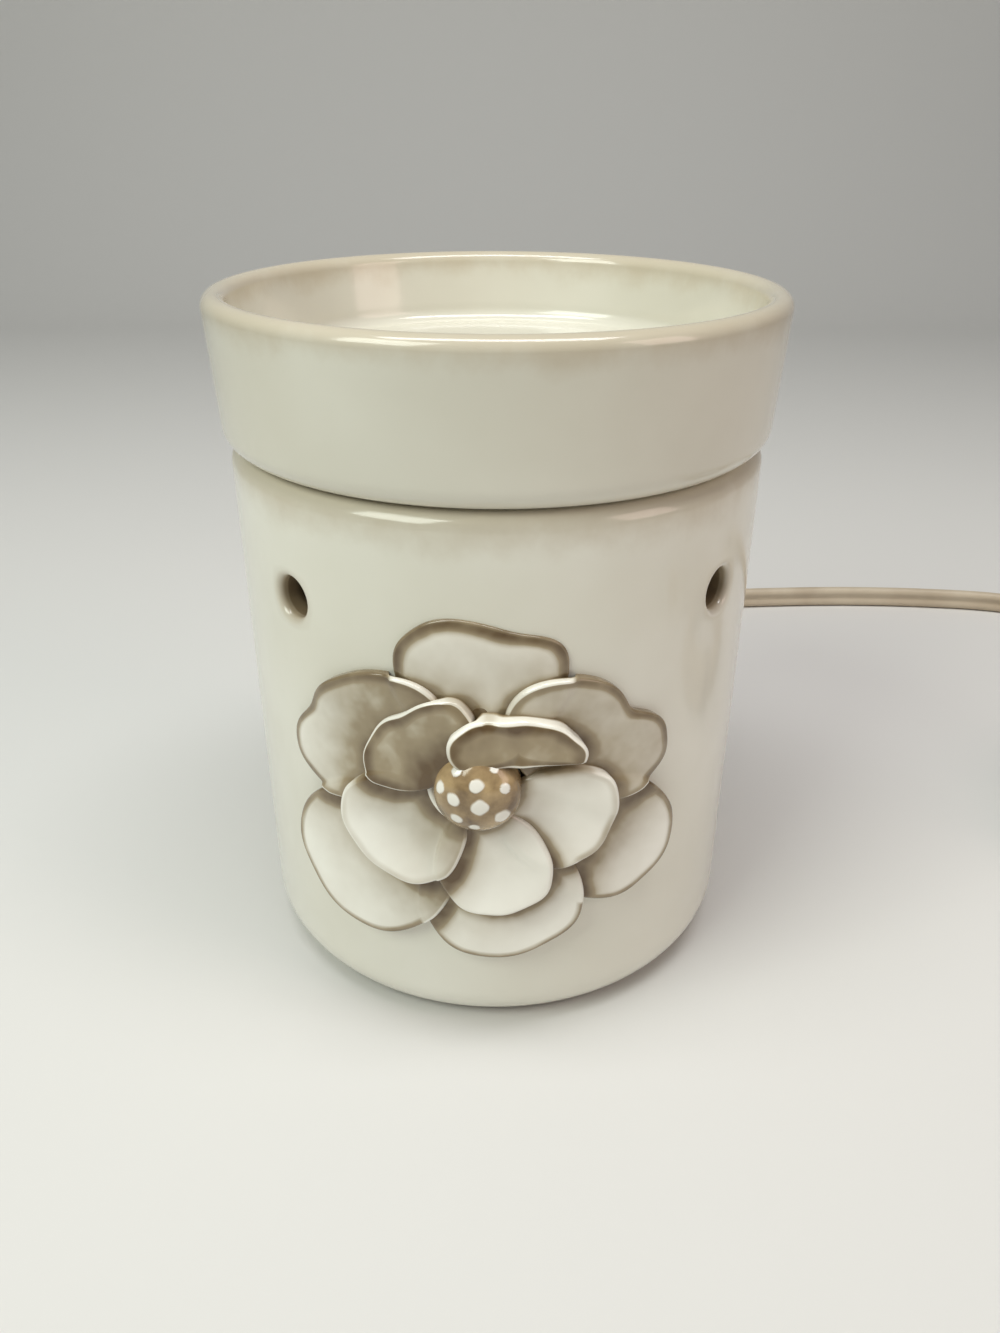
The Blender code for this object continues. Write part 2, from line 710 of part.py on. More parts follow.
def make_terminals():
    low = TERMINAL_TOP - TERMINAL_HEIGHT
    for name, sign in (("live", -1), ("neutral", 1)):
        carrier = place(f"terminal_place_{name}", (sign * TERMINAL_OFFSET, 0, 0))
        size = (TERMINAL_LENGTH / 2, TERMINAL_WIDTH / 2)
        shape = block((-size[0], -size[1], low), (size[0], size[1], TERMINAL_TOP))
        terminal = piece(f"terminal_{name}", shape, brass(f"terminal_brass_{name}"), carrier)
        hole = rod(SCREW_SHANK + TOUCH_GAP, low - EXTRA, TERMINAL_TOP + EXTRA)
        cut(terminal, helper(f"terminal_hole_{name}", hole, carrier))
        head_top = low - TOUCH_GAP
        screw_form = screw(head_top - SCREW_HEAD_HEIGHT, head_top, TERMINAL_TOP - TOUCH_GAP)
        piece(f"terminal_screw_{name}", screw_form, steel(f"terminal_steel_{name}"), carrier)
        make_lead(name, sign, low + TERMINAL_HEIGHT / 2)


def make_lead(name, sign, height):
    """An insulated lead from the strain relief to its terminal."""
    start = RELIEF_INNER - TOUCH_GAP
    end = TERMINAL_WIDTH / 2 + TOUCH_GAP
    span = start - end
    across = 1.9 * MM
    bow = TERMINAL_OFFSET - across
    route = [
        (sign * across, start, height), (sign * across, start - 0.15 * span, height),
        (sign * (across + 0.3 * bow), start - 0.4 * span, height),
        (sign * (across + 0.85 * bow), start - 0.65 * span, height),
        (sign * TERMINAL_OFFSET, start - 0.85 * span, height), (sign * TERMINAL_OFFSET, end, height),
    ]
    colour = (0.03, 0.03, 0.03) if sign < 0 else (0.7, 0.68, 0.62)
    sleeve = finish(f"lead_sleeve_{name}", colour, 0.5)
    wire(f"lead_{name}", smooth_route(route, 3 * MM), sleeve, LEAD_RADIUS)


def screw(head_low, head_high, tip):
    """A pan-head screw with its head down, about its own axis."""
    return turned(
        [
            (0, tip), (SCREW_SHANK, tip), (SCREW_SHANK, head_high), (SCREW_HEAD_RADIUS, head_high),
            (SCREW_HEAD_RADIUS, head_low + SCREW_HEAD_HEIGHT / 3), (0.75 * SCREW_HEAD_RADIUS, head_low),
            (0, head_low),
        ],
        SMALL_STEPS,
    )


def make_cover():
    radius = FOOT_BORE - COVER_CLEARANCE
    disc = rod(radius, COVER_RECESS, COVER_TOP, TURN_STEPS)
    cover = piece("base_cover", disc, dark_plastic("cover_plastic"))
    seat = COVER_TOP - COVER_THICKNESS / 3
    hole = SCREW_SHANK + TOUCH_GAP
    head = SCREW_HEAD_RADIUS + TOUCH_GAP
    for side, sign in (("left", -1), ("right", 1)):
        carrier = place(f"cover_screw_place_{side}", (sign * POST_OFFSET, 0, 0))
        sunk = [
            (0, COVER_TOP + EXTRA), (hole, COVER_TOP + EXTRA), (hole, seat),
            (head, seat), (head, -EXTRA), (0, -EXTRA),
        ]
        cut(cover, helper(f"cover_hole_{side}", turned(sunk, SMALL_STEPS), carrier))
        form = screw(seat - TOUCH_GAP - SCREW_HEAD_HEIGHT, seat - TOUCH_GAP, FLANGE_BOTTOM - TOUCH_GAP)
        piece(f"cover_screw_{side}", form, steel(f"cover_screw_steel_{side}"), carrier)


# Lamp

def globe_profile(shrink):
    """The glass from its neck to the top of its globe, moved inwards by shrink."""
    neck = NECK_RADIUS - shrink
    radius = GLOBE_RADIUS - shrink
    centre = NECK_BOTTOM + NECK_LENGTH + GLOBE_LIFT
    start = (neck, NECK_BOTTOM + NECK_LENGTH)
    join = math.radians(-60)
    end = (radius * math.cos(join), centre + radius * math.sin(join))
    corner = (neck, end[1] - (end[0] - neck) * math.tan(math.radians(30)))
    bend = []
    for i in range(4):
        t = i / 4
        ends = zip(start, corner, end)
        bend.append(tuple((1 - t) ** 2 * s + 2 * t * (1 - t) * c + t * t * e for s, c, e in ends))
    return bend + arc(0, centre, radius, -60, 90, 10)


def make_lamp():
    rise = place("bulb_rise_axis", (0, 0, 0))
    turn = place("bulb_turn_axis", (0, 0, 0))
    turn.parent = rise
    tip_top = TIP_BOTTOM + TIP_HEIGHT
    tip = [(0, tip_top), (TIP_RADIUS, tip_top)]
    tip += arc(0, TIP_BOTTOM + TIP_RADIUS, TIP_RADIUS, -30, -90, 3)
    tip = [(r, z) for r, z in tip if z <= tip_top or r == 0]
    piece("bulb_contact", turned(tip, SMALL_STEPS), finish("solder", (0.55, 0.55, 0.55), 0.4, 1.0), rise)
    top = INSULATOR_BOTTOM + INSULATOR_HEIGHT
    insulator = [
        (0, top), (CAP_RADIUS - CAP_WALL, top), (TIP_RADIUS + CAP_WALL, INSULATOR_BOTTOM),
        (0, INSULATOR_BOTTOM),
    ]
    black = finish("black_glass", (0.01, 0.01, 0.01), 0.1)
    piece("bulb_insulator", turned(insulator, SMALL_STEPS), black, turn)
    cap_top = CAP_BOTTOM + CAP_LENGTH
    bore = CAP_RADIUS - CAP_WALL
    cap = [
        (CAP_RADIUS, cap_top), (CAP_RADIUS, CAP_BOTTOM), (0, CAP_BOTTOM),
        (0, CAP_BOTTOM + CAP_WALL), (bore, CAP_BOTTOM + CAP_WALL), (bore, cap_top),
    ]
    piece("bulb_cap", turned(cap, SMALL_STEPS), finish("cap_aluminium", (0.7, 0.7, 0.68), 0.3, 1.0), turn)
    outer = globe_profile(0.0)
    inner = globe_profile(GLASS_WALL)
    mouth = [(NECK_RADIUS, NECK_BOTTOM), (NECK_RADIUS - GLASS_WALL, NECK_BOTTOM)]
    glass = outer[::-1] + mouth + inner
    clear = finish("clear_glass", (0.9, 0.9, 0.9), 0.02, 0.0, 1.0)
    piece("bulb_glass", turned(glass, TURN_STEPS // 2), clear, turn)
    flare = NECK_RADIUS - GLASS_WALL - TOUCH_GAP
    stem_top = NECK_BOTTOM + STEM_LENGTH
    stem = [
        (0, stem_top), (STEM_RADIUS, stem_top), (STEM_RADIUS, NECK_BOTTOM + 2 * flare),
        (flare, NECK_BOTTOM + flare / 2), (flare, NECK_BOTTOM + TOUCH_GAP), (0, NECK_BOTTOM + TOUCH_GAP),
    ]
    stem_glass = finish("stem_glass", (0.85, 0.87, 0.85), 0.05, 0.0, 0.8)
    piece("bulb_stem", turned(stem, SMALL_STEPS), stem_glass, turn)
    half = FILAMENT_SPAN / 2
    low = stem_top + TOUCH_GAP
    high = low + FILAMENT_RISE
    foot = STEM_RADIUS / 2
    span = [
        (-foot, 0, low), (-foot, 0, low + 2 * MM), (-0.6 * half, 0, low + 0.5 * FILAMENT_RISE),
        (-half, 0, high), (-0.5 * half, 0, high + 1.2 * MM), (0, 0, high + 1.6 * MM),
        (0.5 * half, 0, high + 1.2 * MM), (half, 0, high), (0.6 * half, 0, low + 0.5 * FILAMENT_RISE),
        (foot, 0, low + 2 * MM), (foot, 0, low),
    ]
    tungsten = finish("tungsten", (0.35, 0.35, 0.36), 0.4, 1.0)
    filament = wire("bulb_filament", span, tungsten, FILAMENT_WIRE)
    filament.parent = turn


# Cord, strain relief, coil and tie

def make_relief():
    """The sleeve in the notch: a collar inside, a neck over the cover, and a tapered tail."""
    low = COVER_TOP + TOUCH_GAP
    notch_high = NOTCH_HEIGHT - TOUCH_GAP
    collar_high = WIRING_DEPTH - TOUCH_GAP
    slim = NOTCH_WIDTH - 2 * TOUCH_GAP
    step = 0.2 * MM
    collar_end = RELIEF_INNER + 2.8 * MM
    neck_end = FOOT_BORE + COVER_CLEARANCE
    sections = (
        (RELIEF_INNER, 1.35 * slim, low, collar_high),
        (collar_end, 1.35 * slim, low, collar_high),
        (collar_end + step, slim, low, notch_high),
        (neck_end, slim, low, notch_high),
        (neck_end + step, slim, TABLE_CLEARANCE, notch_high),
        (BODY_RADIUS, slim, TABLE_CLEARANCE, notch_high),
        (RELIEF_TIP, CORD_THICKNESS + 1.6 * MM, RELIEF_CENTRE - CORD_WIDTH / 2 - 0.5 * MM,
         RELIEF_CENTRE + CORD_WIDTH / 2 + 0.5 * MM),
    )
    rings = []
    for y, width, bottom, top in sections:
        outline = soft_section(width, top - bottom)
        rings.append([(x, y, (bottom + top) / 2 + z) for x, z in outline])
    piece("cord_relief", stacked(rings), cream_plastic("relief_plastic"))


def lead_route():
    """From the strain relief, round behind the body, along the table and into the switch."""
    flat = CORD_CENTRE
    x = SWITCH_PLACE[0]
    entry = SWITCH_PLACE[1] + SWITCH_LENGTH / 2 + TOUCH_GAP
    start = RELIEF_TIP + TOUCH_GAP
    by_hand = [
        (0.4, 90.0), (4.0, 105.0), (14.0, 122.5), (32.0, 139.0), (56.0, 150.5), (80.0, 156.2),
        (100.0, 158.2), (125.0, 159.6), (145.0, 159.5), (165.0, 158.2), (186.0, 155.4), (203.0, 150.2),
    ]
    into_switch = [(-19.0, 34.5, 0.25), (-9.2, 28.0, 0.95), (-2.5, 18.5, 2.2)]
    route = [(0.0, start, RELIEF_CENTRE), (0.0, start + CORD_WIDTH, RELIEF_CENTRE)]
    route += [(across * MM, along * MM, flat) for across, along in by_hand]
    route += [(x + across * MM, entry + along * MM, flat + up * MM) for across, along, up in into_switch]
    route += [(x, entry + CORD_WIDTH, SWITCH_CORD_HEIGHT), (x, entry, SWITCH_CORD_HEIGHT)]
    return smooth_route(route, 2.5 * CORD_THICKNESS)


def coil_spiral():
    """Six turns in two layers: in, up a layer in the half turn at the middle, and out again."""
    turns = np.arange(COIL_TURNS * COIL_STEPS + 1) / COIL_STEPS
    half = COIL_TURNS / 2
    from_end = half - np.abs(turns - half)
    inner = half + 0.25
    wide = np.clip((from_end - (half - 0.75)) / 0.5, 0, 1)
    steps_in = np.where(from_end < half - 0.75, from_end, half - 0.75 + wide)
    steps_in = np.minimum(steps_in, inner)
    climb = np.clip((turns - half + 0.25) / 0.5, 0, 1)
    climb = climb * climb * (3 - 2 * climb)
    radius = COIL_RADIUS - COIL_PITCH * steps_in
    angle = -math.tau * turns
    low = COIL_BOTTOM + CORD_WIDTH / 2
    across = COIL_PLACE[0] + radius * np.cos(angle)
    along = COIL_PLACE[1] + radius * np.sin(angle)
    points = np.stack([across, along, low + COIL_LAYER * climb], axis=1)
    straight = np.array([0.0, CORD_WIDTH, 0.0])
    return np.vstack([points[0] + straight, points, points[-1] - straight])


def least_coil_gap(points):
    """The smallest clear way between turns: side by side, or one above the other."""
    flat = np.linalg.norm(points[:, None, :2] - points[None, :, :2], axis=2) - CORD_THICKNESS
    tall = np.abs(points[:, None, 2] - points[None, :, 2]) - CORD_WIDTH
    apart = np.abs(np.arange(len(points))[:, None] - np.arange(len(points))[None, :])
    gap = np.maximum(flat, tall)
    return float(gap[apart > COIL_STEPS // 3].min())


def make_tie(spiral):
    """A band round all the turns on the coil's left side."""
    west = np.abs(spiral[:, 1] - COIL_PLACE[1]) < TIE_WIDTH
    reach = COIL_PLACE[0] - spiral[west & (spiral[:, 0] < COIL_PLACE[0]), 0]
    inside = reach.min() - CORD_THICKNESS / 2 - TIE_SLACK
    outside = reach.max() + CORD_THICKNESS / 2 + TIE_SLACK
    low = COIL_BOTTOM - TOUCH_GAP
    high = COIL_BOTTOM + CORD_WIDTH + COIL_LAYER + TOUCH_GAP
    width = outside - inside
    height = high - low
    corner = 1.5 * MM
    outlines = []
    for grow in (TIE_THICKNESS, 0.0):
        outline = []
        for quarter, (sx, sy) in enumerate(((1, 1), (-1, 1), (-1, -1), (1, -1))):
            for x, y in arc(0, 0, corner + grow, 90 * quarter, 90 * quarter + 90, 3):
                outline.append((sx * (width / 2 - corner) + x, sy * (height / 2 - corner) + y))
        outlines.append(outline)
    middle = (COIL_PLACE[0] - (inside + outside) / 2, COIL_PLACE[1], (low + high) / 2)
    carrier = place("tie_place", middle, (math.pi / 2, 0, 0))
    shape = band(outlines[0], outlines[1], -TIE_WIDTH / 2, TIE_WIDTH / 2)
    piece("cord_tie", shape, dark_plastic("tie_band"), carrier)


def make_cord():
    lead = lead_route()
    flat_cord("cord_lead", lead)
    spiral = coil_spiral()
    flat_cord("cord_coil", [tuple(p) for p in spiral])
    make_tie(spiral)
    start, end = spiral[0], spiral[-1]
    x = SWITCH_PLACE[0]
    out = SWITCH_PLACE[1] - SWITCH_LENGTH / 2 - TOUCH_GAP
    link = [
        (x, out, SWITCH_CORD_HEIGHT), (x, out - CORD_WIDTH, SWITCH_CORD_HEIGHT),
        (x, start[1] + TOUCH_GAP + CORD_WIDTH, start[2]), (x, start[1] + TOUCH_GAP, start[2]),
    ]
    link = smooth_route(link, CORD_WIDTH)
    flat_cord("cord_link", link)
    first = end[1] - TOUCH_GAP
    last = PLUG_PLACE[1] + TOUCH_GAP
    tail = [
        (x, first, end[2]), (x, first - CORD_WIDTH, end[2]),
        (x, last + CORD_WIDTH, PLUG_CENTRE), (x, last, PLUG_CENTRE),
    ]
    tail = smooth_route(tail, CORD_WIDTH / 2)
    flat_cord("cord_tail", tail)
    total = sum(route_length(part) for part in (lead, link, spiral, tail))
    print(f"cord: {total:.3f} m, of which {route_length(spiral):.3f} m in the coil")
    print(f"coil: least gap to itself {least_coil_gap(spiral) / MM:.2f} mm")


# Switch

def make_switch():
    carrier = place("switch_place", (*SWITCH_PLACE, 0.0))
    full = stadium(SWITCH_LENGTH, SWITCH_WIDTH, 0.0)
    edge = stadium(SWITCH_LENGTH, SWITCH_WIDTH, SWITCH_EDGE)
    hollow = stadium(SWITCH_LENGTH, SWITCH_WIDTH, SWITCH_WALL)
    upper_low = SWITCH_LOWER_TOP + TOUCH_GAP
    floor = SWITCH_BASE + SWITCH_WALL
    roof = SWITCH_TOP - SWITCH_WALL

    def case(levels):
        return stacked([[(x, y, z) for x, y in outline] for outline, z in levels])

    lower = piece("switch_lower_case", case((
        (edge, SWITCH_BASE), (full, SWITCH_BASE + SWITCH_EDGE), (full, SWITCH_LOWER_TOP),
        (hollow, SWITCH_LOWER_TOP), (hollow, floor),
    )), cream_plastic("switch_plastic_lower"), carrier)
    upper = piece("switch_upper_case", case((
        (edge, SWITCH_TOP), (full, SWITCH_TOP - SWITCH_EDGE), (full, upper_low),
        (hollow, upper_low), (hollow, roof),
    )), cream_plastic("switch_plastic_upper"), carrier)
    slot_length = math.sqrt(ROLLER_RADIUS**2 - (roof - AXLE_HEIGHT) ** 2) + 2 * TOUCH_GAP
    slot_width = ROLLER_WIDTH / 2 + 2 * TOUCH_GAP
    slot_low = (-slot_width, -slot_length, roof - EXTRA)
    slot = block(slot_low, (slot_width, slot_length, SWITCH_TOP + EXTRA))
    cut(upper, helper("roller_slot", slot, carrier))
    sink = SWITCH_WALL / 2
    for side in (-1, 1):
        x = side * (AXLE_LENGTH / 2 - SADDLE_WIDTH / 2 - TOUCH_GAP)
        low = (x - SADDLE_WIDTH / 2, -SADDLE_LENGTH / 2)
        high = (x + SADDLE_WIDTH / 2, SADDLE_LENGTH / 2)
        saddle = block((*low, floor - sink), (*high, AXLE_HEIGHT - AXLE_RADIUS - TOUCH_GAP))
        add(lower, helper(f"saddle_{side}", saddle, carrier))
        keeper = block((*low, AXLE_HEIGHT + AXLE_RADIUS + TOUCH_GAP), (*high, roof + sink))
        add(upper, helper(f"keeper_{side}", keeper, carrier))
    screw_place = place("switch_screw_place", (0, -SWITCH_SCREW_OFFSET, 0))
    screw_place.parent = carrier
    hole = SCREW_SHANK + TOUCH_GAP
    add(lower, helper("lower_boss", rod(SWITCH_BOSS_RADIUS, floor - sink, SWITCH_LOWER_TOP), screw_place))
    add(upper, helper("upper_boss", rod(SWITCH_BOSS_RADIUS, upper_low, roof + sink), screw_place))
    seat = SWITCH_BASE + SCREW_HEAD_HEIGHT + 2 * TOUCH_GAP
    sunk = [
        (0, SWITCH_LOWER_TOP + EXTRA), (hole, SWITCH_LOWER_TOP + EXTRA), (hole, seat),
        (SCREW_HEAD_RADIUS + TOUCH_GAP, seat), (SCREW_HEAD_RADIUS + TOUCH_GAP, -EXTRA), (0, -EXTRA),
    ]
    cut(lower, helper("lower_screw_hole", turned(sunk, SMALL_STEPS), screw_place))
    cut(upper, helper("upper_screw_hole", rod(hole, upper_low - EXTRA, roof - TOUCH_GAP), screw_place))
    tip = roof - 3 * TOUCH_GAP
    form = screw(seat - TOUCH_GAP - SCREW_HEAD_HEIGHT, seat - TOUCH_GAP, tip)
    piece("switch_screw", form, steel("switch_screw_steel"), screw_place)
    make_roller(carrier)
    for name, sign in (("in", 1), ("out", -1)):
        y = sign * SWITCH_CONTACT_OFFSET
        low = floor + TOUCH_GAP
        rise = (y, y + sign * STRIP_THICKNESS)
        foot = (y, y + sign * SWITCH_CONTACT_FOOT)
        leg = [
            (rise[0], low), (foot[1], low), (foot[1], low + STRIP_THICKNESS),
            (rise[1], low + STRIP_THICKNESS), (rise[1], low + SWITCH_CONTACT_HEIGHT),
            (rise[0], low + SWITCH_CONTACT_HEIGHT),
        ]
        half = SWITCH_CONTACT_WIDTH / 2
        shape = stacked([[(x, y, z) for y, z in leg] for x in (-half, half)])
        piece(f"switch_contact_{name}", shape, brass(f"switch_brass_{name}"), carrier)


def make_roller(switch):
    axis = place("roller_axis", (0, 0, AXLE_HEIGHT), (0, math.pi / 2, 0))
    axis.parent = switch
    outline = ridged(ROLLER_RADIUS, ROLLER_RIDGES, ROLLER_RIDGE)
    bore = circle(AXLE_RADIUS + TOUCH_GAP, len(outline))
    wheel = band(outline, bore, -ROLLER_WIDTH / 2, ROLLER_WIDTH / 2)
    piece("switch_roller", wheel, dark_plastic("roller_plastic"), axis)
    pin = rod(AXLE_RADIUS, -AXLE_LENGTH / 2, AXLE_LENGTH / 2)
    piece("switch_axle", pin, steel("axle_steel"), axis)


# Plug

def make_plug():
    carrier = place("plug_place", (*PLUG_PLACE, PLUG_CENTRE), (math.pi / 2, 0, 0))
    sections = (
        (0.0, PLUG_NECK, PLUG_NECK),
        (0.28, PLUG_NECK, PLUG_NECK),
        (0.42, 0.82 * PLUG_WIDTH, 0.92 * PLUG_HEIGHT),
        (0.55, PLUG_WIDTH, PLUG_HEIGHT),
        (0.96, PLUG_WIDTH, PLUG_HEIGHT),
        (1.0, 0.94 * PLUG_WIDTH, 0.88 * PLUG_HEIGHT),
    )
    rings = [
        [(x, y, share * PLUG_LENGTH) for x, y in soft_section(width, height)]
        for share, width, height in sections
    ]
    body = piece("plug_body", stacked(rings), cream_plastic("plug_plastic"), carrier)
    root = PLUG_LENGTH - BLADE_ROOT
    tip = PLUG_LENGTH + BLADE_LENGTH
    for name, sign, width in (("wide", -1, BLADE_WIDE), ("narrow", 1, BLADE_NARROW)):
        x = sign * BLADE_SPACING / 2
        half = BLADE_THICKNESS / 2
        pocket = block(
            (x - half - TOUCH_GAP, -width / 2 - TOUCH_GAP, root - TOUCH_GAP),
            (x + half + TOUCH_GAP, width / 2 + TOUCH_GAP, tip),
        )
        cut(body, helper(f"blade_pocket_{name}", pocket, carrier))
        chamfer = 1.2 * MM
        side = [
            (-width / 2, root), (width / 2, root), (width / 2, tip - chamfer), (width / 2 - chamfer, tip),
            (chamfer - width / 2, tip), (-width / 2, tip - chamfer),
        ]
        shape = stacked([[(x + end, y, z) for y, z in side] for end in (-half, half)])
        blade = piece(f"plug_blade_{name}", shape, brass(f"blade_brass_{name}"), carrier)
        across = place(f"blade_hole_place_{name}", (x, 0, tip - 4.0 * MM), (0, math.pi / 2, 0))
        across.parent = carrier
        cut(blade, helper(f"blade_hole_{name}", rod(BLADE_HOLE, -EXTRA, EXTRA), across))


def main():
    clear_scene()
    make_body()
    make_dish()
    make_flower()
    make_holder()
    make_terminals()
    make_cover()
    make_lamp()
    make_relief()
    make_cord()
    make_switch()
    make_plug()


main()
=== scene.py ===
# %% [markdown]
# # A ceramic wax warmer, dressed for its portrait
# The solids of the warmer come in as a fixed frame: a round ceramic body with a flower on its front, a dish
# that lifts off, a small lamp inside and a flat cord. This lesson gives each piece its fine shape and finish.
# Every shape is a function of two parameters worked out with numpy, and every finish is made of nodes.

# %% Load the frame
import math
from typing import NamedTuple

import bmesh
import bpy
import numpy as np
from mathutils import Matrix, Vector


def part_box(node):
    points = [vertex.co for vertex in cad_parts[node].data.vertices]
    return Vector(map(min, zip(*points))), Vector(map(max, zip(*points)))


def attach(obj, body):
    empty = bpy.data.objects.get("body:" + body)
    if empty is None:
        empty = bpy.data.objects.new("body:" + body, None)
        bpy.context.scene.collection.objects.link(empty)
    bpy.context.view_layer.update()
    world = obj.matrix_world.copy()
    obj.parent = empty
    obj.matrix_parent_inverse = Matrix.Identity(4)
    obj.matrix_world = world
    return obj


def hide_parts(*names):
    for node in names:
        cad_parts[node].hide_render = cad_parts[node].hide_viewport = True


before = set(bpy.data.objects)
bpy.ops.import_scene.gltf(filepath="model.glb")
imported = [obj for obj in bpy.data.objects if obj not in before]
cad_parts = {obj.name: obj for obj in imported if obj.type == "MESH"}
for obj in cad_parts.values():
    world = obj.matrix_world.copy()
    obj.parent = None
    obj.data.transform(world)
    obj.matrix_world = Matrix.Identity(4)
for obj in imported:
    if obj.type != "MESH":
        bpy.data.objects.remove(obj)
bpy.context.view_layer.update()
MM = 0.001
print("nodes in the frame:", len(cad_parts))

# %% [markdown]
# ## The camera
# The portrait looks down at the warmer from a hand's height, close by, so its sides draw together towards the
# foot. The camera's place, its turn and its lens were worked out from the two round rims and the foot. It is
# set before any piece, because the cord's route has to leave the picture where the real one does.

# %% Camera
camera_lens = bpy.data.cameras.new("portrait_camera")
camera_lens.sensor_fit = "VERTICAL"
camera_lens.sensor_height = 36.0
camera_lens.lens = 27.98
camera_lens.clip_start = 0.01
portrait_camera = bpy.data.objects.new("portrait_camera", camera_lens)
portrait_camera.location = (0.0, -208.73 * MM, 167.97 * MM)
portrait_camera.rotation_euler = [math.radians(turn) for turn in (62.0425, -0.1719, -0.1186)]
bpy.context.scene.collection.objects.link(portrait_camera)
bpy.context.scene.camera = portrait_camera
bpy.context.scene.view_settings.view_transform = "Standard"
print("lens:", camera_lens.lens, "mm")

# %% [markdown]
# ## Small tools
# A colour is written as the hex value a picture editor shows and is turned to the linear light that shaders
# use. One function adds a shader node. A surface is a grid of points, row by row, and quads join neighbours.
# The last functions put such points into a mesh, close its seams and poles, and hand the piece to its body.

# %% Colour, node and finish tools
def linear(hex_colour):
    """sRGB to linear light: x / 12.92 below 0.04045, and ((x + 0.055) / 1.055) ** 2.4 above it."""
    parts = [int(hex_colour[start:start + 2], 16) / 255 for start in (1, 3, 5)]
    return (*[p / 12.92 if p <= 0.04045 else ((p + 0.055) / 1.055) ** 2.4 for p in parts], 1.0)


def fill_socket(finish, socket, value):
    """Links another node's output to a socket, or sets a plain value or a hex colour on the socket itself."""
    if isinstance(value, bpy.types.NodeSocket):
        finish.node_tree.links.new(value, socket)
    else:
        socket.default_value = linear(value) if isinstance(value, str) else value


def add_node(finish, kind, *values, output=None, **named):
    """Adds one node with its settings and links. Gives back the output that is named, or the first in use.

    Values go to the sockets in use, in their order. A name in small letters is a setting, any other a socket.
    """
    made = finish.node_tree.nodes.new("ShaderNode" + kind)
    for name in [name for name in named if name.islower()]:
        setattr(made, name, named.pop(name))
    for socket, value in zip([socket for socket in made.inputs if socket.enabled], values):
        fill_socket(finish, socket, value)
    for name, value in named.items():
        fill_socket(finish, made.inputs[name], value)
    return made.outputs[output] if output else next(socket for socket in made.outputs if socket.enabled)


def fill_shader(finish, **sockets):
    """Fills sockets of a finish's Principled shader, which are named with _ for a space."""
    shader = finish.node_tree.nodes["Principled BSDF"]
    for name, value in sockets.items():
        fill_socket(finish, shader.inputs[name.replace("_", " ")], value)


def start_finish(name, **sockets):
    """A new material, with plain values set on its shader's own sockets."""
    finish = bpy.data.materials.new(name)
    finish.use_nodes = True
    fill_shader(finish, **sockets)
    return finish


# %% Grid and mesh tools
def grid_faces(rows, columns, close_rows=False, close_columns=True, first=0):
    """Quads between neighbours in a grid whose points are numbered row by row."""
    index = first + np.arange(rows * columns).reshape(rows, columns)
    if close_rows:
        index = np.vstack([index, index[:1]])
    if close_columns:
        index = np.hstack([index, index[:, :1]])
    corners = [index[:-1, :-1], index[:-1, 1:], index[1:, 1:], index[1:, :-1]]
    return np.stack(corners, axis=-1).reshape(-1, 4)


def new_mesh(name, points, faces, attributes=None, weld=0.002 * MM):
    """A mesh from points and quads. Points that meet are welded, and faces are turned outwards."""
    mesh = bpy.data.meshes.new(name)
    mesh.from_pydata(np.asarray(points, float).reshape(-1, 3).tolist(), [], np.asarray(faces).tolist())
    for title, values in (attributes or {}).items():
        layer = mesh.attributes.new(title, "FLOAT", "POINT")
        layer.data.foreach_set("value", np.ascontiguousarray(values, np.float32).ravel())
    shape = bmesh.new()
    shape.from_mesh(mesh)
    bmesh.ops.remove_doubles(shape, verts=shape.verts, dist=weld)
    bmesh.ops.dissolve_degenerate(shape, edges=shape.edges, dist=weld)
    bmesh.ops.recalc_face_normals(shape, faces=shape.faces)
    shape.to_mesh(mesh)
    shape.free()
    return mesh


def show(name, mesh, finish, body, nodes, sharp=35.0):
    """Puts a mesh in the scene: smooth but for its sharp edges, riding on a body, standing for its nodes."""
    mesh.shade_smooth()
    mesh.set_sharp_from_angle(angle=math.radians(sharp))
    mesh.materials.append(finish)
    made = bpy.data.objects.new(name, mesh)
    bpy.context.scene.collection.objects.link(made)
    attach(made, body)
    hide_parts(*nodes)
    print(name, len(mesh.polygons), "faces")
    return made


def show_grid(name, grid, finish, body, nodes, close_rows=False, marks=None, sharp=35.0):
    """Makes a piece of a grid in millimetres. Its columns close into rings, and its rows only where asked."""
    faces = grid_faces(*grid.shape[:2], close_rows=close_rows)
    return show(name, new_mesh(name, grid * MM, faces, marks), finish, body, nodes, sharp)


def arc(centre, radius, start, end, steps):
    """Points on a round: centre + radius (cos a, sin a), with a in degrees."""
    a = np.radians(np.linspace(start, end, steps + 1))
    return np.stack([centre[0] + radius * np.cos(a), centre[1] + radius * np.sin(a)], axis=1)


def line(start, end, steps):
    """Points on a straight stretch, its two ends left out."""
    share = np.linspace(0, 1, steps + 1)[1:-1, None]
    return np.array(start) * (1 - share) + np.array(end) * share


def turned(profile, columns, ripple=None, phase=0.0):
    """A profile (radius, height) carried round the upright axis: x = r sin a, y = -r cos a.

    A ripple is added to the radius: a function of the angle and the height.
    """
    profile = np.asarray(profile, float)
    a = phase + math.tau * np.arange(columns) / columns
    r = np.repeat(profile[:, :1], columns, axis=1)
    z = np.repeat(profile[:, 1:], columns, axis=1)
    if ripple is not None:
        r = r + ripple(a[None, :], profile[:, 1:])
    return np.stack([r * np.sin(a), -r * np.cos(a), z], axis=-1)


def show_turned(name, profile, columns, finish, body, node, ripple=None, sharp=35.0):
    """Makes a piece of a closed profile in millimetres, turned round the upright axis."""
    return show_grid(
        name, turned(profile, columns, ripple), finish, body, [node], close_rows=True, sharp=sharp
    )


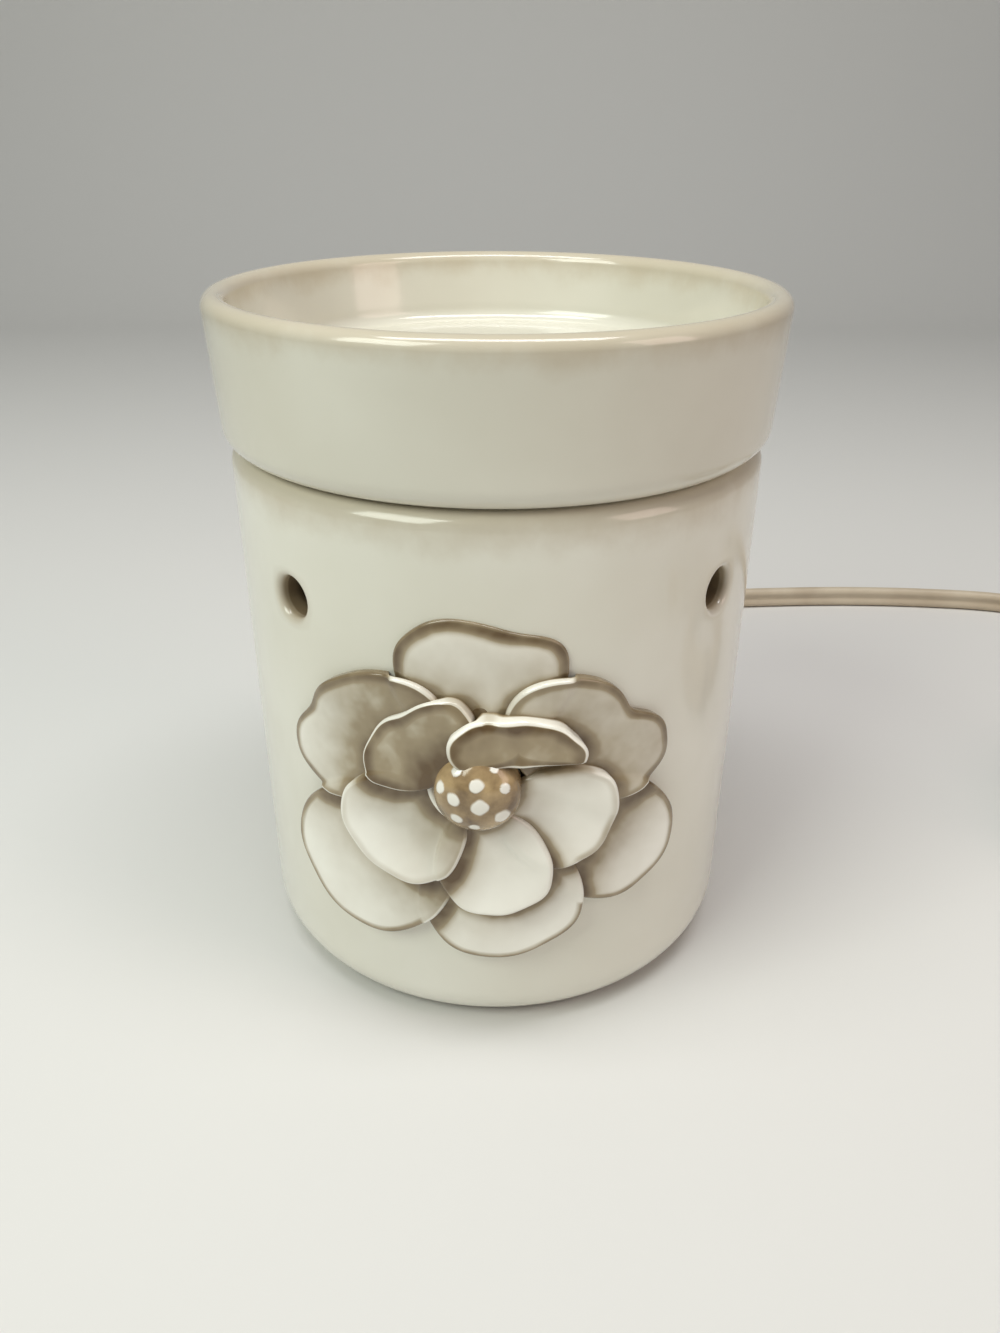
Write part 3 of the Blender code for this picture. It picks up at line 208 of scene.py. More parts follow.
# %% [markdown]
# ## The cord
# The warmer has about 1.8 m of flat twin lamp cord: two cores side by side in cream PVC with a groove between
# them. It stands on its narrow edge, as it leaves the notch in the foot. It runs round behind the body, along
# the floor and out of the picture to a roller switch, a tied coil and a plug. A section with the groove is
# carried along the route, so the groove is real and catches the light. The route repeats the frame's own.

# %% Cord finish: soft PVC, extruded
def pvc_finish(name, light, dark, rough):
    """Satin PVC: a broad soft shine, a faint grain about a millimetre wide and a little handling dirt."""
    finish = start_finish(name, IOR=1.53, Coat_Weight=0.08, Coat_Roughness=0.3)
    spot = add_node(finish, "TexCoord", output="Object")
    dirt = add_node(finish, "TexNoise", Vector=spot, Scale=1 / (18 * MM), Detail=3.0)
    grain = add_node(finish, "TexNoise", Vector=spot, Scale=1 / (1.2 * MM), Detail=2.0)
    shade = add_node(finish, "MapRange", dirt, 0.35, 0.7)
    fill_shader(
        finish,
        Base_Color=add_node(finish, "Mix", shade, light, dark, data_type="RGBA"),
        Roughness=add_node(finish, "MapRange", grain, 0.0, 1.0, rough - 0.06, rough + 0.1),
        Normal=add_node(finish, "Bump", Height=grain, Strength=0.12, Distance=0.1 * MM),
    )
    return finish


cord_pvc = pvc_finish("cream_pvc_extruded", "#c6b9a3", "#b1a18a", 0.42)

# %% Cord section and sweep
CORD_WIDTH = 7.3
CORD_THICKNESS = 3.7
CORD_GROOVE = 0.75


def twin_section(steps=28):
    """Two cores joined by a web. Height v = w/2 sin a. Half thickness: round ends and a cosine groove."""
    a = math.tau * np.arange(steps) / steps
    core = CORD_THICKNESS / 2
    centre = CORD_WIDTH / 2 - core
    v = CORD_WIDTH / 2 * np.sin(a)
    past = np.clip(np.abs(v) - centre, 0, core)
    groove = 0.5 * CORD_GROOVE * (1 + np.cos(math.pi * np.clip(np.abs(v) / centre, 0, 1)))
    half = np.sqrt(np.maximum(core**2 - past**2, 0)) - groove
    return np.stack([np.copysign(half, np.cos(a)), v], axis=1)


def swept(path, section):
    """A section carried upright along a path: point + s (tangent x up) + v (side x tangent)."""
    tangent = np.gradient(path, axis=0)
    tangent /= np.linalg.norm(tangent, axis=1, keepdims=True)
    side = np.cross(tangent, [0.0, 0.0, 1.0])
    side /= np.linalg.norm(side, axis=1, keepdims=True)
    upright = np.cross(side, tangent)
    return path[:, None] + section[None, :, :1] * side[:, None] + section[None, :, 1:] * upright[:, None]


def capped(grid):
    """Adds a row at each end that is drawn together to its middle, so the tube is closed."""
    ends = [np.repeat(grid[row].mean(axis=0)[None], grid.shape[1], axis=0)[None] for row in (0, -1)]
    return np.concatenate([ends[0], grid, ends[1]])


def smooth_route(points, spacing=2.5, steps=24):
    """A cubic for each four neighbours in turn, at even steps. Its two end stretches stay straight."""
    route = np.array(points, float)
    t = np.linspace(0, 1, steps, endpoint=False)[:, None]
    parts = [
        0.5 * (2 * s + (e - b) * t + (2 * b - 5 * s + 4 * e - a) * t**2 + (3 * s - b - 3 * e + a) * t**3)
        for b, s, e, a in zip(route, route[1:], route[2:], route[3:])
    ]
    fine = np.vstack([route[:1]] + parts + [route[-2:]])
    along = np.concatenate([[0], np.cumsum(np.linalg.norm(np.diff(fine, axis=0), axis=1))])
    wanted = np.linspace(0, along[-1], int(along[-1] / spacing) + 2)
    return np.stack([np.interp(wanted, along, fine[:, k]) for k in range(3)], axis=1)


def cord_piece(name, path, nodes):
    """The twin section carried along a path and closed at both ends."""
    grid = capped(swept(path, twin_section()))
    return show_grid(name, grid, cord_pvc, "base", nodes, sharp=60.0)


# %% Cord from the foot to the switch
RELIEF_TIP = 74.9
RELIEF_CENTRE = 4.6
CORD_CENTRE = 0.1 + CORD_WIDTH / 2
SWITCH_X, SWITCH_Y = 234.0, 82.0
SWITCH_HALF = 28.0
SWITCH_CORD_Z = 7.85
TOUCH = 0.3

entry = SWITCH_Y + SWITCH_HALF + TOUCH
start = RELIEF_TIP + TOUCH
route = [(0.0, start, RELIEF_CENTRE), (0.0, start + CORD_WIDTH, RELIEF_CENTRE)]
route += [(x, y, CORD_CENTRE) for x, y in (
    (0.4, 90.0), (4.0, 105.0), (14.0, 122.5), (32.0, 139.0), (56.0, 150.5), (80.0, 156.2), (100.0, 158.2),
    (125.0, 159.6), (145.0, 159.5), (165.0, 158.2), (186.0, 155.4), (203.0, 150.2),
)]
route += [(SWITCH_X + x, entry + y, CORD_CENTRE + z) for x, y, z in (
    (-19.0, 34.5, 0.25), (-9.2, 28.0, 0.95), (-2.5, 18.5, 2.2),
)]
route += [(SWITCH_X, entry + CORD_WIDTH, SWITCH_CORD_Z), (SWITCH_X, entry, SWITCH_CORD_Z)]
lead_path = smooth_route(route)
cord_to_switch = cord_piece("cord_to_switch", lead_path, ["cord_lead"])

# %% Cord from the switch through the coil to the plug
COIL_RADIUS = 44.0
COIL_PITCH = CORD_THICKNESS + 0.6
COIL_LAYER = CORD_WIDTH + 0.6
COIL_TURNS = 6
COIL_X, COIL_Y = SWITCH_X - COIL_RADIUS, SWITCH_Y - 74.0
TIE_UNDER = 1.2
COIL_LOW = TIE_UNDER + CORD_WIDTH / 2
PLUG_Y = COIL_Y - 43.0
PLUG_Z = 6.7


def smoothstep(low, high, x):
    """From 0 to 1 between two values, level at both: s s (3 - 2 s), where s is the share of the way."""
    share = np.clip((x - low) / (high - low), 0, 1)
    return share * share * (3 - 2 * share)


def coil_path(steps=72):
    """Six turns in two layers: the radius steps in by a pitch a turn, the cord climbs and steps out again."""
    turns = np.arange(COIL_TURNS * steps + 1) / steps
    half = COIL_TURNS / 2
    from_end = half - np.abs(turns - half)
    last_step = half - 0.75
    quick = np.clip((from_end - last_step) / 0.5, 0, 1)
    steps_in = np.where(from_end < last_step, from_end, last_step + quick)
    radius = COIL_RADIUS - COIL_PITCH * steps_in
    height = COIL_LOW + COIL_LAYER * smoothstep(half - 0.25, half + 0.25, turns)
    a = -math.tau * turns
    return np.stack([COIL_X + radius * np.cos(a), COIL_Y + radius * np.sin(a), height], axis=1)


coil = coil_path()
leave = SWITCH_Y - SWITCH_HALF - TOUCH
link = smooth_route([
    (SWITCH_X, leave, SWITCH_CORD_Z), (SWITCH_X, leave - CORD_WIDTH, SWITCH_CORD_Z),
    (SWITCH_X, coil[0, 1] + 2 * CORD_WIDTH, coil[0, 2]), (SWITCH_X, coil[0, 1] + 2.5, coil[0, 2]),
])
tail = smooth_route([
    (SWITCH_X, coil[-1, 1] - 2.5, coil[-1, 2]), (SWITCH_X, coil[-1, 1] - 2 * CORD_WIDTH, coil[-1, 2]),
    (SWITCH_X, PLUG_Y + CORD_WIDTH, PLUG_Z), (SWITCH_X, PLUG_Y + TOUCH, PLUG_Z),
])
coil_route = np.vstack([link, coil, tail])
cord_to_plug = cord_piece("cord_to_plug", coil_route, ["cord_link", "cord_coil", "cord_tail"])


def path_length(path):
    """The sum of a path's steps, in metres."""
    return float(np.linalg.norm(np.diff(path, axis=0), axis=1).sum()) * MM


print("cord lengths:", round(path_length(lead_path), 3), "m and", round(path_length(coil_route), 3), "m")

# %% [markdown]
# ## The glaze
# Body and dish are slip-cast earthenware under a cream white glaze. The glaze is glassy and a little uneven,
# so reflections in it waver. Where it runs thin, on the lip, on the shoulder and at the edges of the holes,
# the tan clay shows through. That blush has a ragged lower edge, so it is drawn from the height plus some
# noise. Inside the body the glaze is only a thin wash, and the buff clay shows: an attribute marks it. That
# clay's tone and the tan down each vent's lip are painted darker, as painted shade in the holes, and the
# dish's copy of the glaze is painted a little darker than the body's, as painted shade.

# %% Glaze finish: earthenware, dipped and fired
RAGGED = 9.0 * MM


def glaze_finish(name, edge_low, edge_high, light, dark, has_holes):
    """A clear glass over pale clay: sharp reflections, a soft waver some 25 mm long, fine pinholes."""
    finish = start_finish(name, IOR=1.5, Coat_Weight=0.35, Coat_Roughness=0.06, Coat_IOR=1.5)
    spot = add_node(finish, "TexCoord", output="Object")
    cloud = add_node(finish, "TexNoise", Vector=spot, Scale=1 / (45 * MM), Detail=3.0, Roughness=0.55)
    ragged = add_node(finish, "TexNoise", Vector=spot, Scale=1 / (11 * MM), Detail=4.0, Roughness=0.6)
    tone = add_node(finish, "MapRange", cloud, 0.3, 0.7)
    cream = add_node(finish, "Mix", tone, light, dark, data_type="RGBA")
    height = add_node(finish, "SeparateXYZ", spot, output="Z")
    wander = add_node(finish, "Math", ragged, RAGGED, height, operation="MULTIPLY_ADD")
    edges = (edge_low + RAGGED / 2, edge_high + RAGGED / 2)
    thin = add_node(finish, "MapRange", wander, *edges, interpolation_type="SMOOTHSTEP")
    blush = add_node(finish, "Math", thin, 0.52, operation="MULTIPLY")
    colour = add_node(finish, "Mix", blush, cream, "#b9a98c", data_type="RGBA")
    if has_holes:
        # Thin glaze beside a hole, and painted shade that darkens the hole's lip towards its tunnel
        edge = add_node(finish, "Attribute", attribute_name="thin_glaze_and_hole_shade", output="Fac")
        colour = add_node(finish, "Mix", edge, colour, "#a8967a", data_type="RGBA")
        # Buff clay inside the body, in a tone painted darker than the clay, as painted shade in the vents
        inside = add_node(finish, "Attribute", attribute_name="inside", output="Fac")
        drips = add_node(finish, "Math", ragged, 0.8, inside, operation="MULTIPLY_ADD")
        washed = add_node(finish, "MapRange", drips, 0.75, 1.05)
        colour = add_node(finish, "Mix", washed, colour, "#8a785e", data_type="RGBA")
    waver = add_node(finish, "TexNoise", Vector=spot, Scale=1 / (25 * MM), Detail=1.0)
    wavering = add_node(finish, "Bump", Height=waver, Strength=0.25, Distance=1.2 * MM)
    pinholes = add_node(finish, "TexVoronoi", Vector=spot, Scale=1 / (6 * MM))
    pits = add_node(finish, "MapRange", pinholes, 0.0, 0.06)
    fill_shader(
        finish,
        Base_Color=colour,
        Roughness=add_node(finish, "MapRange", ragged, 0.0, 1.0, 0.1, 0.2),
        Normal=add_node(finish, "Bump", Height=pits, Strength=0.1, Distance=0.1 * MM, Normal=wavering),
        Coat_Normal=wavering,
    )
    return finish


body_glaze = glaze_finish("earthenware_cream_glaze_body", 0.1035, 0.1115, "#e8e6da", "#dfdccd", True)
# The dish has the body's glaze painted a little darker, as painted shade
dish_glaze_painted_darker = glaze_finish("earthenware_cream_glaze_dish_painted_shade", 0.1335, 0.1395, "#dcd9cb", "#d1cdbd", False)

# %% [markdown]
# ## The body
# A straight round wall with a rounded foot and shoulder, hollow, with a floor that carries the lamp. Its four
# vent holes have soft edges, so a Boolean cut would spoil the shine round them. Instead, the wall is a grid
# with a square window round each hole, and a second grid runs from that square to the round edge, over its
# soft lip, through the wall and out to the matching window inside. The notch for the cord is cut afterwards.

# %% Body: wall profile with rows that fit the windows
BODY_RADIUS = 52.9
BODY_BORE = 47.4
BODY_HEIGHT = 112.2
FOOT_BORE = 38.2
FLOOR_LOW, FLOOR_TOP = 12.0, 17.0
HOLDER_HOLE = 13.8
VENT_Z = 91.0
VENT_RADIUS = 3.9
VENT_LIP = 1.5
# The full glaze ends this far from the axis in a vent, and this far below the rim inside the body; past it
# the darker clay tone is also painted shade
GLAZE_REACH = 51.2
GLAZE_DRIP = 6.0
# How bare the clay looks beside a vent, over how many millimetres, and how much painted shade darkens its lip
# into the hole
THIN_BESIDE, THIN_REACH, HOLE_SHADE = 0.42, 2.0, 0.5
FOOT_ROUND, SHOULDER_ROUND, RIM_ROUND, COVE_ROUND = 9.7, 3.4, 0.8, 5.0
WINDOW_HALF = 8.0
WINDOW_STEPS = 12
ROWS_BELOW, ROWS_ABOVE = 46, 8
COLUMNS = 240
VENT_TURN = math.radians(3.2)
VENT_ANGLES = [VENT_TURN + math.radians(turn) for turn in (48, -48, 132, -132)]


def wall_rows(radius, low, high):
    """Heights of a wall's rows, with even rows across the windows."""
    window = np.linspace(VENT_Z - WINDOW_HALF, VENT_Z + WINDOW_HALF, WINDOW_STEPS + 1)
    below = np.linspace(low, window[0], ROWS_BELOW)[:-1]
    above = np.linspace(window[-1], high, ROWS_ABOVE)[1:]
    z = np.concatenate([below, window, above])
    return np.stack([np.full_like(z, radius), z], axis=1), len(below)


outer_wall, outer_first = wall_rows(BODY_RADIUS, FOOT_ROUND, BODY_HEIGHT - SHOULDER_ROUND)
inner_wall, inner_first = wall_rows(BODY_BORE, FLOOR_TOP + COVE_ROUND, BODY_HEIGHT - RIM_ROUND)
foot = arc((BODY_RADIUS - FOOT_ROUND, FOOT_ROUND), FOOT_ROUND, -90, 0, 14)[:-1]
shoulder_centre = (BODY_RADIUS - SHOULDER_ROUND, BODY_HEIGHT - SHOULDER_ROUND)
shoulder = arc(shoulder_centre, SHOULDER_ROUND, 0, 90, 8)[1:]
rim = arc((BODY_BORE + RIM_ROUND, BODY_HEIGHT - RIM_ROUND), RIM_ROUND, 90, 180, 4)[:-1]
cove = arc((BODY_BORE - COVE_ROUND, FLOOR_TOP + COVE_ROUND), COVE_ROUND, 0, -90, 8)[1:]
underside = np.array([
    (HOLDER_HOLE + 0.4, FLOOR_TOP), (HOLDER_HOLE, FLOOR_TOP - 0.4), (HOLDER_HOLE, FLOOR_LOW),
    (FOOT_BORE, FLOOR_LOW), (FOOT_BORE, 0.5), (FOOT_BORE + 0.5, 0.0),
])
outside = np.vstack([foot, outer_wall, shoulder, rim])
body_profile = np.vstack([outside, inner_wall[::-1], cove, underside])
outer_start = len(foot) + outer_first
inner_start = len(outside) + len(inner_wall) - inner_first - WINDOW_STEPS - 1

# %% Body: wall grid with its windows left open
wall_points = turned(body_profile, COLUMNS, phase=VENT_TURN)
wall_faces = grid_faces(len(body_profile), COLUMNS, close_rows=True)
face_row = np.repeat(np.arange(len(body_profile)), COLUMNS)
face_column = np.tile(np.arange(COLUMNS), len(body_profile))
in_rows = np.zeros(len(face_row), bool)
for first in (outer_start, inner_start):
    in_rows |= (face_row >= first) & (face_row < first + WINDOW_STEPS)
in_columns = np.zeros(len(face_row), bool)
for angle in VENT_ANGLES:
    middle = round((angle - VENT_TURN) / math.tau * COLUMNS)
    in_columns |= (face_column - middle + WINDOW_STEPS // 2) % COLUMNS < WINDOW_STEPS
wall_faces = wall_faces[~(in_rows & in_columns)]


# %% Body: a vent's grid from window to window
def vent_grid(angle):
    """Rings from the outer window's square to the hole, through the wall and out to the inner one's square.

    Square and circle are blended in the plane across the hole's axis. The depth follows the wall's round, and
    the lip is a quarter of a circle. Each ring also tells how thin its glaze is, with painted shade added
    down the lip into the hole, and whether it lies inside.
    """
    inner_lip = 0.4
    step = math.tau / COLUMNS
    column = np.arange(-WINDOW_STEPS // 2, WINDOW_STEPS // 2 + 1) * step
    height = np.linspace(-WINDOW_HALF, WINDOW_HALF, WINDOW_STEPS + 1)
    low, high = np.full(WINDOW_STEPS, -WINDOW_HALF), np.full(WINDOW_STEPS, WINDOW_HALF)
    left, right = np.full(WINDOW_STEPS, column[0]), np.full(WINDOW_STEPS, column[-1])
    turn = np.concatenate([column[:-1], right, column[:0:-1], left])
    tall = np.concatenate([low, height[:-1], high, height[:0:-1]])
    around = np.arctan2(tall, turn / column[-1] * WINDOW_HALF)
    circle = np.stack([np.cos(around), np.sin(around)], axis=1)
    rings, edge, inside = [], [], []

    def ring(square_radius, share, reach, sink):
        """Adds a ring: from the square, share 0, to a circle, share 1, set below the wall by a sink."""
        square = np.stack([square_radius * np.sin(turn), tall], axis=1)
        flat = (1 - share) * square + share * reach * circle
        out = np.sqrt(square_radius**2 - flat[:, 0] ** 2) - sink
        rings.append(np.stack([flat[:, 0], -out, VENT_Z + flat[:, 1]], axis=1))
        past_hole = np.hypot(*flat.T).min() - VENT_RADIUS
        # Thin glaze beside the hole, and painted shade that grows down the lip into the hole
        beside = np.clip(1.1 - past_hole / THIN_REACH, 0, 1)
        edge.append(np.full(len(turn), THIN_BESIDE * beside + HOLE_SHADE * min(sink / VENT_LIP, 1)))
        inside.append(np.full(len(turn), float(square_radius - sink < GLAZE_REACH)))

    for share in np.linspace(0, 1, 8):
        ring(BODY_RADIUS, share, VENT_RADIUS + VENT_LIP, 0.0)
    for bend in np.linspace(0, math.pi / 2, 7)[1:]:
        ring(BODY_RADIUS, 1.0, VENT_RADIUS + VENT_LIP * (1 - math.sin(bend)), VENT_LIP * (1 - math.cos(bend)))
    straight = BODY_RADIUS - BODY_BORE - VENT_LIP - inner_lip
    for share in np.linspace(0.3, 1, 3):
        ring(BODY_RADIUS, 1.0, VENT_RADIUS, VENT_LIP + share * straight)
    for share in np.linspace(1, 0, 6):
        ring(BODY_BORE, share, VENT_RADIUS + inner_lip, 0.0)
    points = np.stack(rings)
    c, s = math.cos(angle), math.sin(angle)
    x, y = points[..., 0], points[..., 1]
    points = np.stack([c * x - s * y, s * x + c * y, points[..., 2]], axis=-1)
    return points, np.stack(edge), np.stack(inside)


washed_rows = (body_profile[:, 0] < BODY_BORE + 0.3) & (body_profile[:, 1] < BODY_HEIGHT - GLAZE_DRIP)
points, faces = [wall_points.reshape(-1, 3)], [wall_faces]
edges = [np.zeros(len(points[0]))]
insides = [np.repeat(washed_rows.astype(float), COLUMNS)]
for angle in VENT_ANGLES:
    vent, edge, inside = vent_grid(angle)
    faces.append(grid_faces(*vent.shape[:2], first=sum(len(p) for p in points)))
    points.append(vent.reshape(-1, 3))
    edges.append(edge.ravel())
    insides.append(inside.ravel())
marks = {"thin_glaze_and_hole_shade": np.concatenate(edges), "inside": np.concatenate(insides)}
body_mesh = new_mesh("ceramic_body", np.vstack(points) * MM, np.vstack(faces), marks, weld=0.02 * MM)
ceramic_body = show("ceramic_body", body_mesh, body_glaze, "base", ["body_shell"], sharp=50.0)

# %% Body: notch for the cord
NOTCH_HALF, NOTCH_HEIGHT = 4.0, 9.2
NOTCH_START, NOTCH_END, NOTCH_LOW = 33.0, 56.0, -2.0
box_low = np.array([-NOTCH_HALF, NOTCH_START, NOTCH_LOW])
box_high = np.array([NOTCH_HALF, NOTCH_END, NOTCH_HEIGHT])
corner = np.array([(x, y, z) for x in (0, 1) for y in (0, 1) for z in (0, 1)])
notch_mesh = new_mesh(
    "notch_cutter", (box_low + corner * (box_high - box_low)) * MM,
    [(0, 1, 3, 2), (4, 6, 7, 5), (0, 4, 5, 1), (2, 3, 7, 6), (0, 2, 6, 4), (1, 5, 7, 3)],
)
notch_cutter = bpy.data.objects.new("notch_cutter", notch_mesh)
bpy.context.scene.collection.objects.link(notch_cutter)
notch = ceramic_body.modifiers.new("notch", "BOOLEAN")
notch.object = notch_cutter
notch.solver = "EXACT"
bpy.context.view_layer.update()
cut_mesh = bpy.data.meshes.new_from_object(ceramic_body.evaluated_get(bpy.context.evaluated_depsgraph_get()))
ceramic_body.modifiers.clear()
ceramic_body.data = cut_mesh
bpy.data.objects.remove(notch_cutter)
print("body with its notch:", len(cut_mesh.polygons), "faces")

# %% [markdown]
# ## The wax dish
# The dish is one turned profile: a full round lip, a wall that leans out a little, a rounded foot that sits
# on the body's rim with a thin dark seam, a collar that drops inside the body, and a flat floor with a cove.

# %% Dish
DISH_SEAT = 112.5
LIP = 140.0
RIM_RADIUS = 55.3
LIP_ROUND, SEAT_ROUND, DISH_COVE = 2.4, 4.2, 3.2
COLLAR_BORE = 42.1
DISH_UNDER, DISH_FLOOR, FLOOR_RADIUS = 120.3, 125.3, 45.3
lip_centre = (RIM_RADIUS - LIP_ROUND, LIP - LIP_ROUND)
cove_centre = (FLOOR_RADIUS, DISH_FLOOR + DISH_COVE)
dish_profile = np.vstack([
    arc(lip_centre, LIP_ROUND, 90, 0, 10),
    line((RIM_RADIUS, LIP - LIP_ROUND), (RIM_RADIUS - 1.2, DISH_SEAT + SEAT_ROUND), 16),
    arc((RIM_RADIUS - 1.2 - SEAT_ROUND, DISH_SEAT + SEAT_ROUND), SEAT_ROUND, 0, -90, 10),
    [(46.6, DISH_SEAT)],
    arc((45.1, DISH_SEAT - 4.0), 1.5, 0, -90, 5),
    [(COLLAR_BORE, DISH_SEAT - 5.5), (COLLAR_BORE, DISH_UNDER - 0.7), (COLLAR_BORE - 0.7, DISH_UNDER)],
    [(0.0, DISH_UNDER), (0.0, DISH_FLOOR)],
    line((0.0, DISH_FLOOR), (FLOOR_RADIUS, DISH_FLOOR), 10),
    arc(cove_centre, DISH_COVE, -90, 0, 8),
    line((FLOOR_RADIUS + DISH_COVE, cove_centre[1]), (RIM_RADIUS - 2 * LIP_ROUND, lip_centre[1]), 8),
    arc(lip_centre, LIP_ROUND, 180, 90, 10)[:-1],
])
show_turned("ceramic_dish", dish_profile, 192, dish_glaze_painted_darker, "dish", "wax_dish", sharp=50.0)

# %% [markdown]
# ## The flower
# The flower was pressed by hand out of thin slabs of clay: six broad outer petals and five inner ones that
# cup forward round a dotted button. A brown wash was rubbed into it and wiped off, so it stays in the hollows
# and along the edges, and the white glaze over it is thin on the rims. Each petal is a grid of rings: an
# egg-shaped outline shrunk towards its middle, a rounded rim, a side wall and the back. An attribute carries
# the wash together with painted shade: painted shadow in the crevices beside overlapping petals, round the
# button and at the petals' feet, a thin painted shadow line where an edge stands off the wall, and painted
# shade over the roots of petals that face down or lie in another's shadow.

# %% Flower: petals in the plane of the wall
FLOWER_TURN = math.radians(-3.4)
FLOWER_Z = 63.3
PETAL_CURVE = 1.3
BUTTON_RADIUS = 7.8
BUTTON_UP = -1.0
PETAL_STEPS = 128
CORE_HEIGHT, CORE_FLAT, CORE_EDGE = 3.2, 5.0, 12.0
LAP_ROOT, LAP_TIP, LAP_SOFT = 0.3, 0.8, 0.8
PETAL_RIM, RIM_THINNER = 0.85, 0.35
PETAL_HEART = 0.55
COLLAR_PALE = math.radians(215)


class Petal(NamedTuple):
    """One petal: direction and dent turn in degrees, shares, and lengths in millimetres in its plane.

    Shade is painted shade over its root, where it faces down or lies in shadow, and fade is the share of it
    gone at its tip.
    """

    direction: float
    reach: float
    half_width: float
    base: float
    rise: float
    dent: float
    dent_turn: float
    cup: float
    hollow: float
    egg: float
    shade: float = 0.0
    shift: float = 0.0
    chord: float = -100.0
    root: float = 5.0
    tip_shift: float = 0.0
    fade: float = 1.0


# Each petal lies over the ones before it
PETALS = (
    Petal(326, 44.4, 12.8, 1.0, 3.0, 0.3, 14, 1.2, 1.3, 0.28, 0.85),
    Petal(279, 41.4, 14.4, 1.2, 3.2, 0.2, -24, 1.2, 1.3, 0.34),
    Petal(226, 47.0, 15.8, 1.4, 3.2, 0.3, 14, 1.2, 1.3, 0.28, 0.42),
    Petal(89, 31.0, 15.0, 2.2, 0.0, 2.0, 22, 0.4, 1.2, 0.28, 0.14, fade=0.0),
    Petal(4, 36.6, 13.0, 3.0, 0.4, 3.2, -50, 0.6, 1.4, -0.06, 0.34, 9.5, fade=0.0),
    Petal(180, 38.6, 13.4, 2.8, 0.4, 1.5, 30, 0.6, 1.4, -0.06, 0.56, -9.5, fade=0.85),
    Petal(331, 26.2, 10.6, 3.8, 2.4, 0.3, -15, 0.3, 1.4, 0.2),
    Petal(279, 28.8, 9.8, 4.2, 2.8, 0.4, 12, 0.8, 1.4, 0.2),
    Petal(220, 27.2, 11.8, 3.4, 3.8, 0.4, -20, 0.5, 1.6, 0.2, 0.25),
    Petal(132, 18.6, 11.8, 5.3, -2.4, 0.2, 18, 0.5, 0.6, 0.1, 0.6, 3.0, -100.0, 4.2, 3.6, 0.2),
    Petal(84, 14.2, 11.4, 7.6, -2.6, 0.0, 0, 0.4, 0.6, 0.0, 0.55, -6.0, 4.9, 2.0, -5.4, 0.0),
)


# %% Flower: a petal's height and outline
def soft_max(first, second, width):
    """The larger of two heights, rounded where they cross: (a + b + sqrt((a - b)^2 + w^2) - w) / 2."""
    return (first + second + np.sqrt((first - second) ** 2 + width**2) - width) / 2


def on_wall(right, up, height):
    """Bends the flower's plane round the body: angle = turn + right / radius, reach = radius + height."""
    a = FLOWER_TURN + right / BODY_RADIUS
    reach = BODY_RADIUS + height
    return np.stack([reach * np.sin(a), -reach * np.cos(a), FLOWER_Z + up], axis=-1)


def in_petal(petal, right, up):
    """A point in a petal's own terms: shares of its length and half width, and its level, 1 on the edge."""
    turn = math.radians(petal.direction)
    along = right * math.cos(turn) + up * math.sin(turn)
    across = up * math.cos(turn) - right * math.sin(turn)
    share = (along - petal.root) / (petal.reach - petal.root)
    side = (across - petal.shift * (1 - share) - petal.tip_shift * share) / petal.half_width
    level = np.hypot(2 * share - 1, side / (1 + petal.egg * np.clip(2 * share - 1, -1, 1)))
    return np.clip(share, 0, 1.1), side, level


def past_edge(petal, right, up):
    """Millimetres from a petal's edge, about: below zero inside it."""
    level = in_petal(petal, right, up)[2]
    outside = (level - 1) * (petal.reach - petal.root + 2 * petal.half_width) / 4
    return np.maximum(outside, petal.chord - up)


def front_height(petal, right, up):
    """A petal by itself: it rises to its tip, cups at its sides and is hollow in the middle.

    Its edge rolls down by 0.1 mm on a petal that points up, and by 0.7 mm on one that points down.
    """
    share, side, level = in_petal(petal, right, up)
    level = np.clip(level, 0, 1)
    roll = 0.3 * math.sin(math.radians(petal.direction)) - 0.4
    dished = petal.hollow * (1 - level**2) * smoothstep(0.0, 0.35, share)
    own = petal.base + petal.rise * share**PETAL_CURVE + petal.cup * side**2 * share
    return own - dished + roll * level**8


def lap(petal, right, up):
    """How far a petal stands over those under it: little at its root, most at its tip."""
    return LAP_ROOT + (LAP_TIP - LAP_ROOT) * smoothstep(0.15, 0.65, in_petal(petal, right, up)[0])


def under_height(below, right, up, start, end):
    """The core and the petals below a point: each lies at its own height, or one lap over those under it."""
    top = CORE_HEIGHT * (1 - smoothstep(CORE_FLAT, CORE_EDGE, np.hypot(right, up)))
    for petal in below:
        inside = 1 - smoothstep(start, end, past_edge(petal, right, up))
        lapped = top + lap(petal, right, up)
        top = top + inside * (soft_max(front_height(petal, right, up), lapped, LAP_SOFT) - top)
    return top


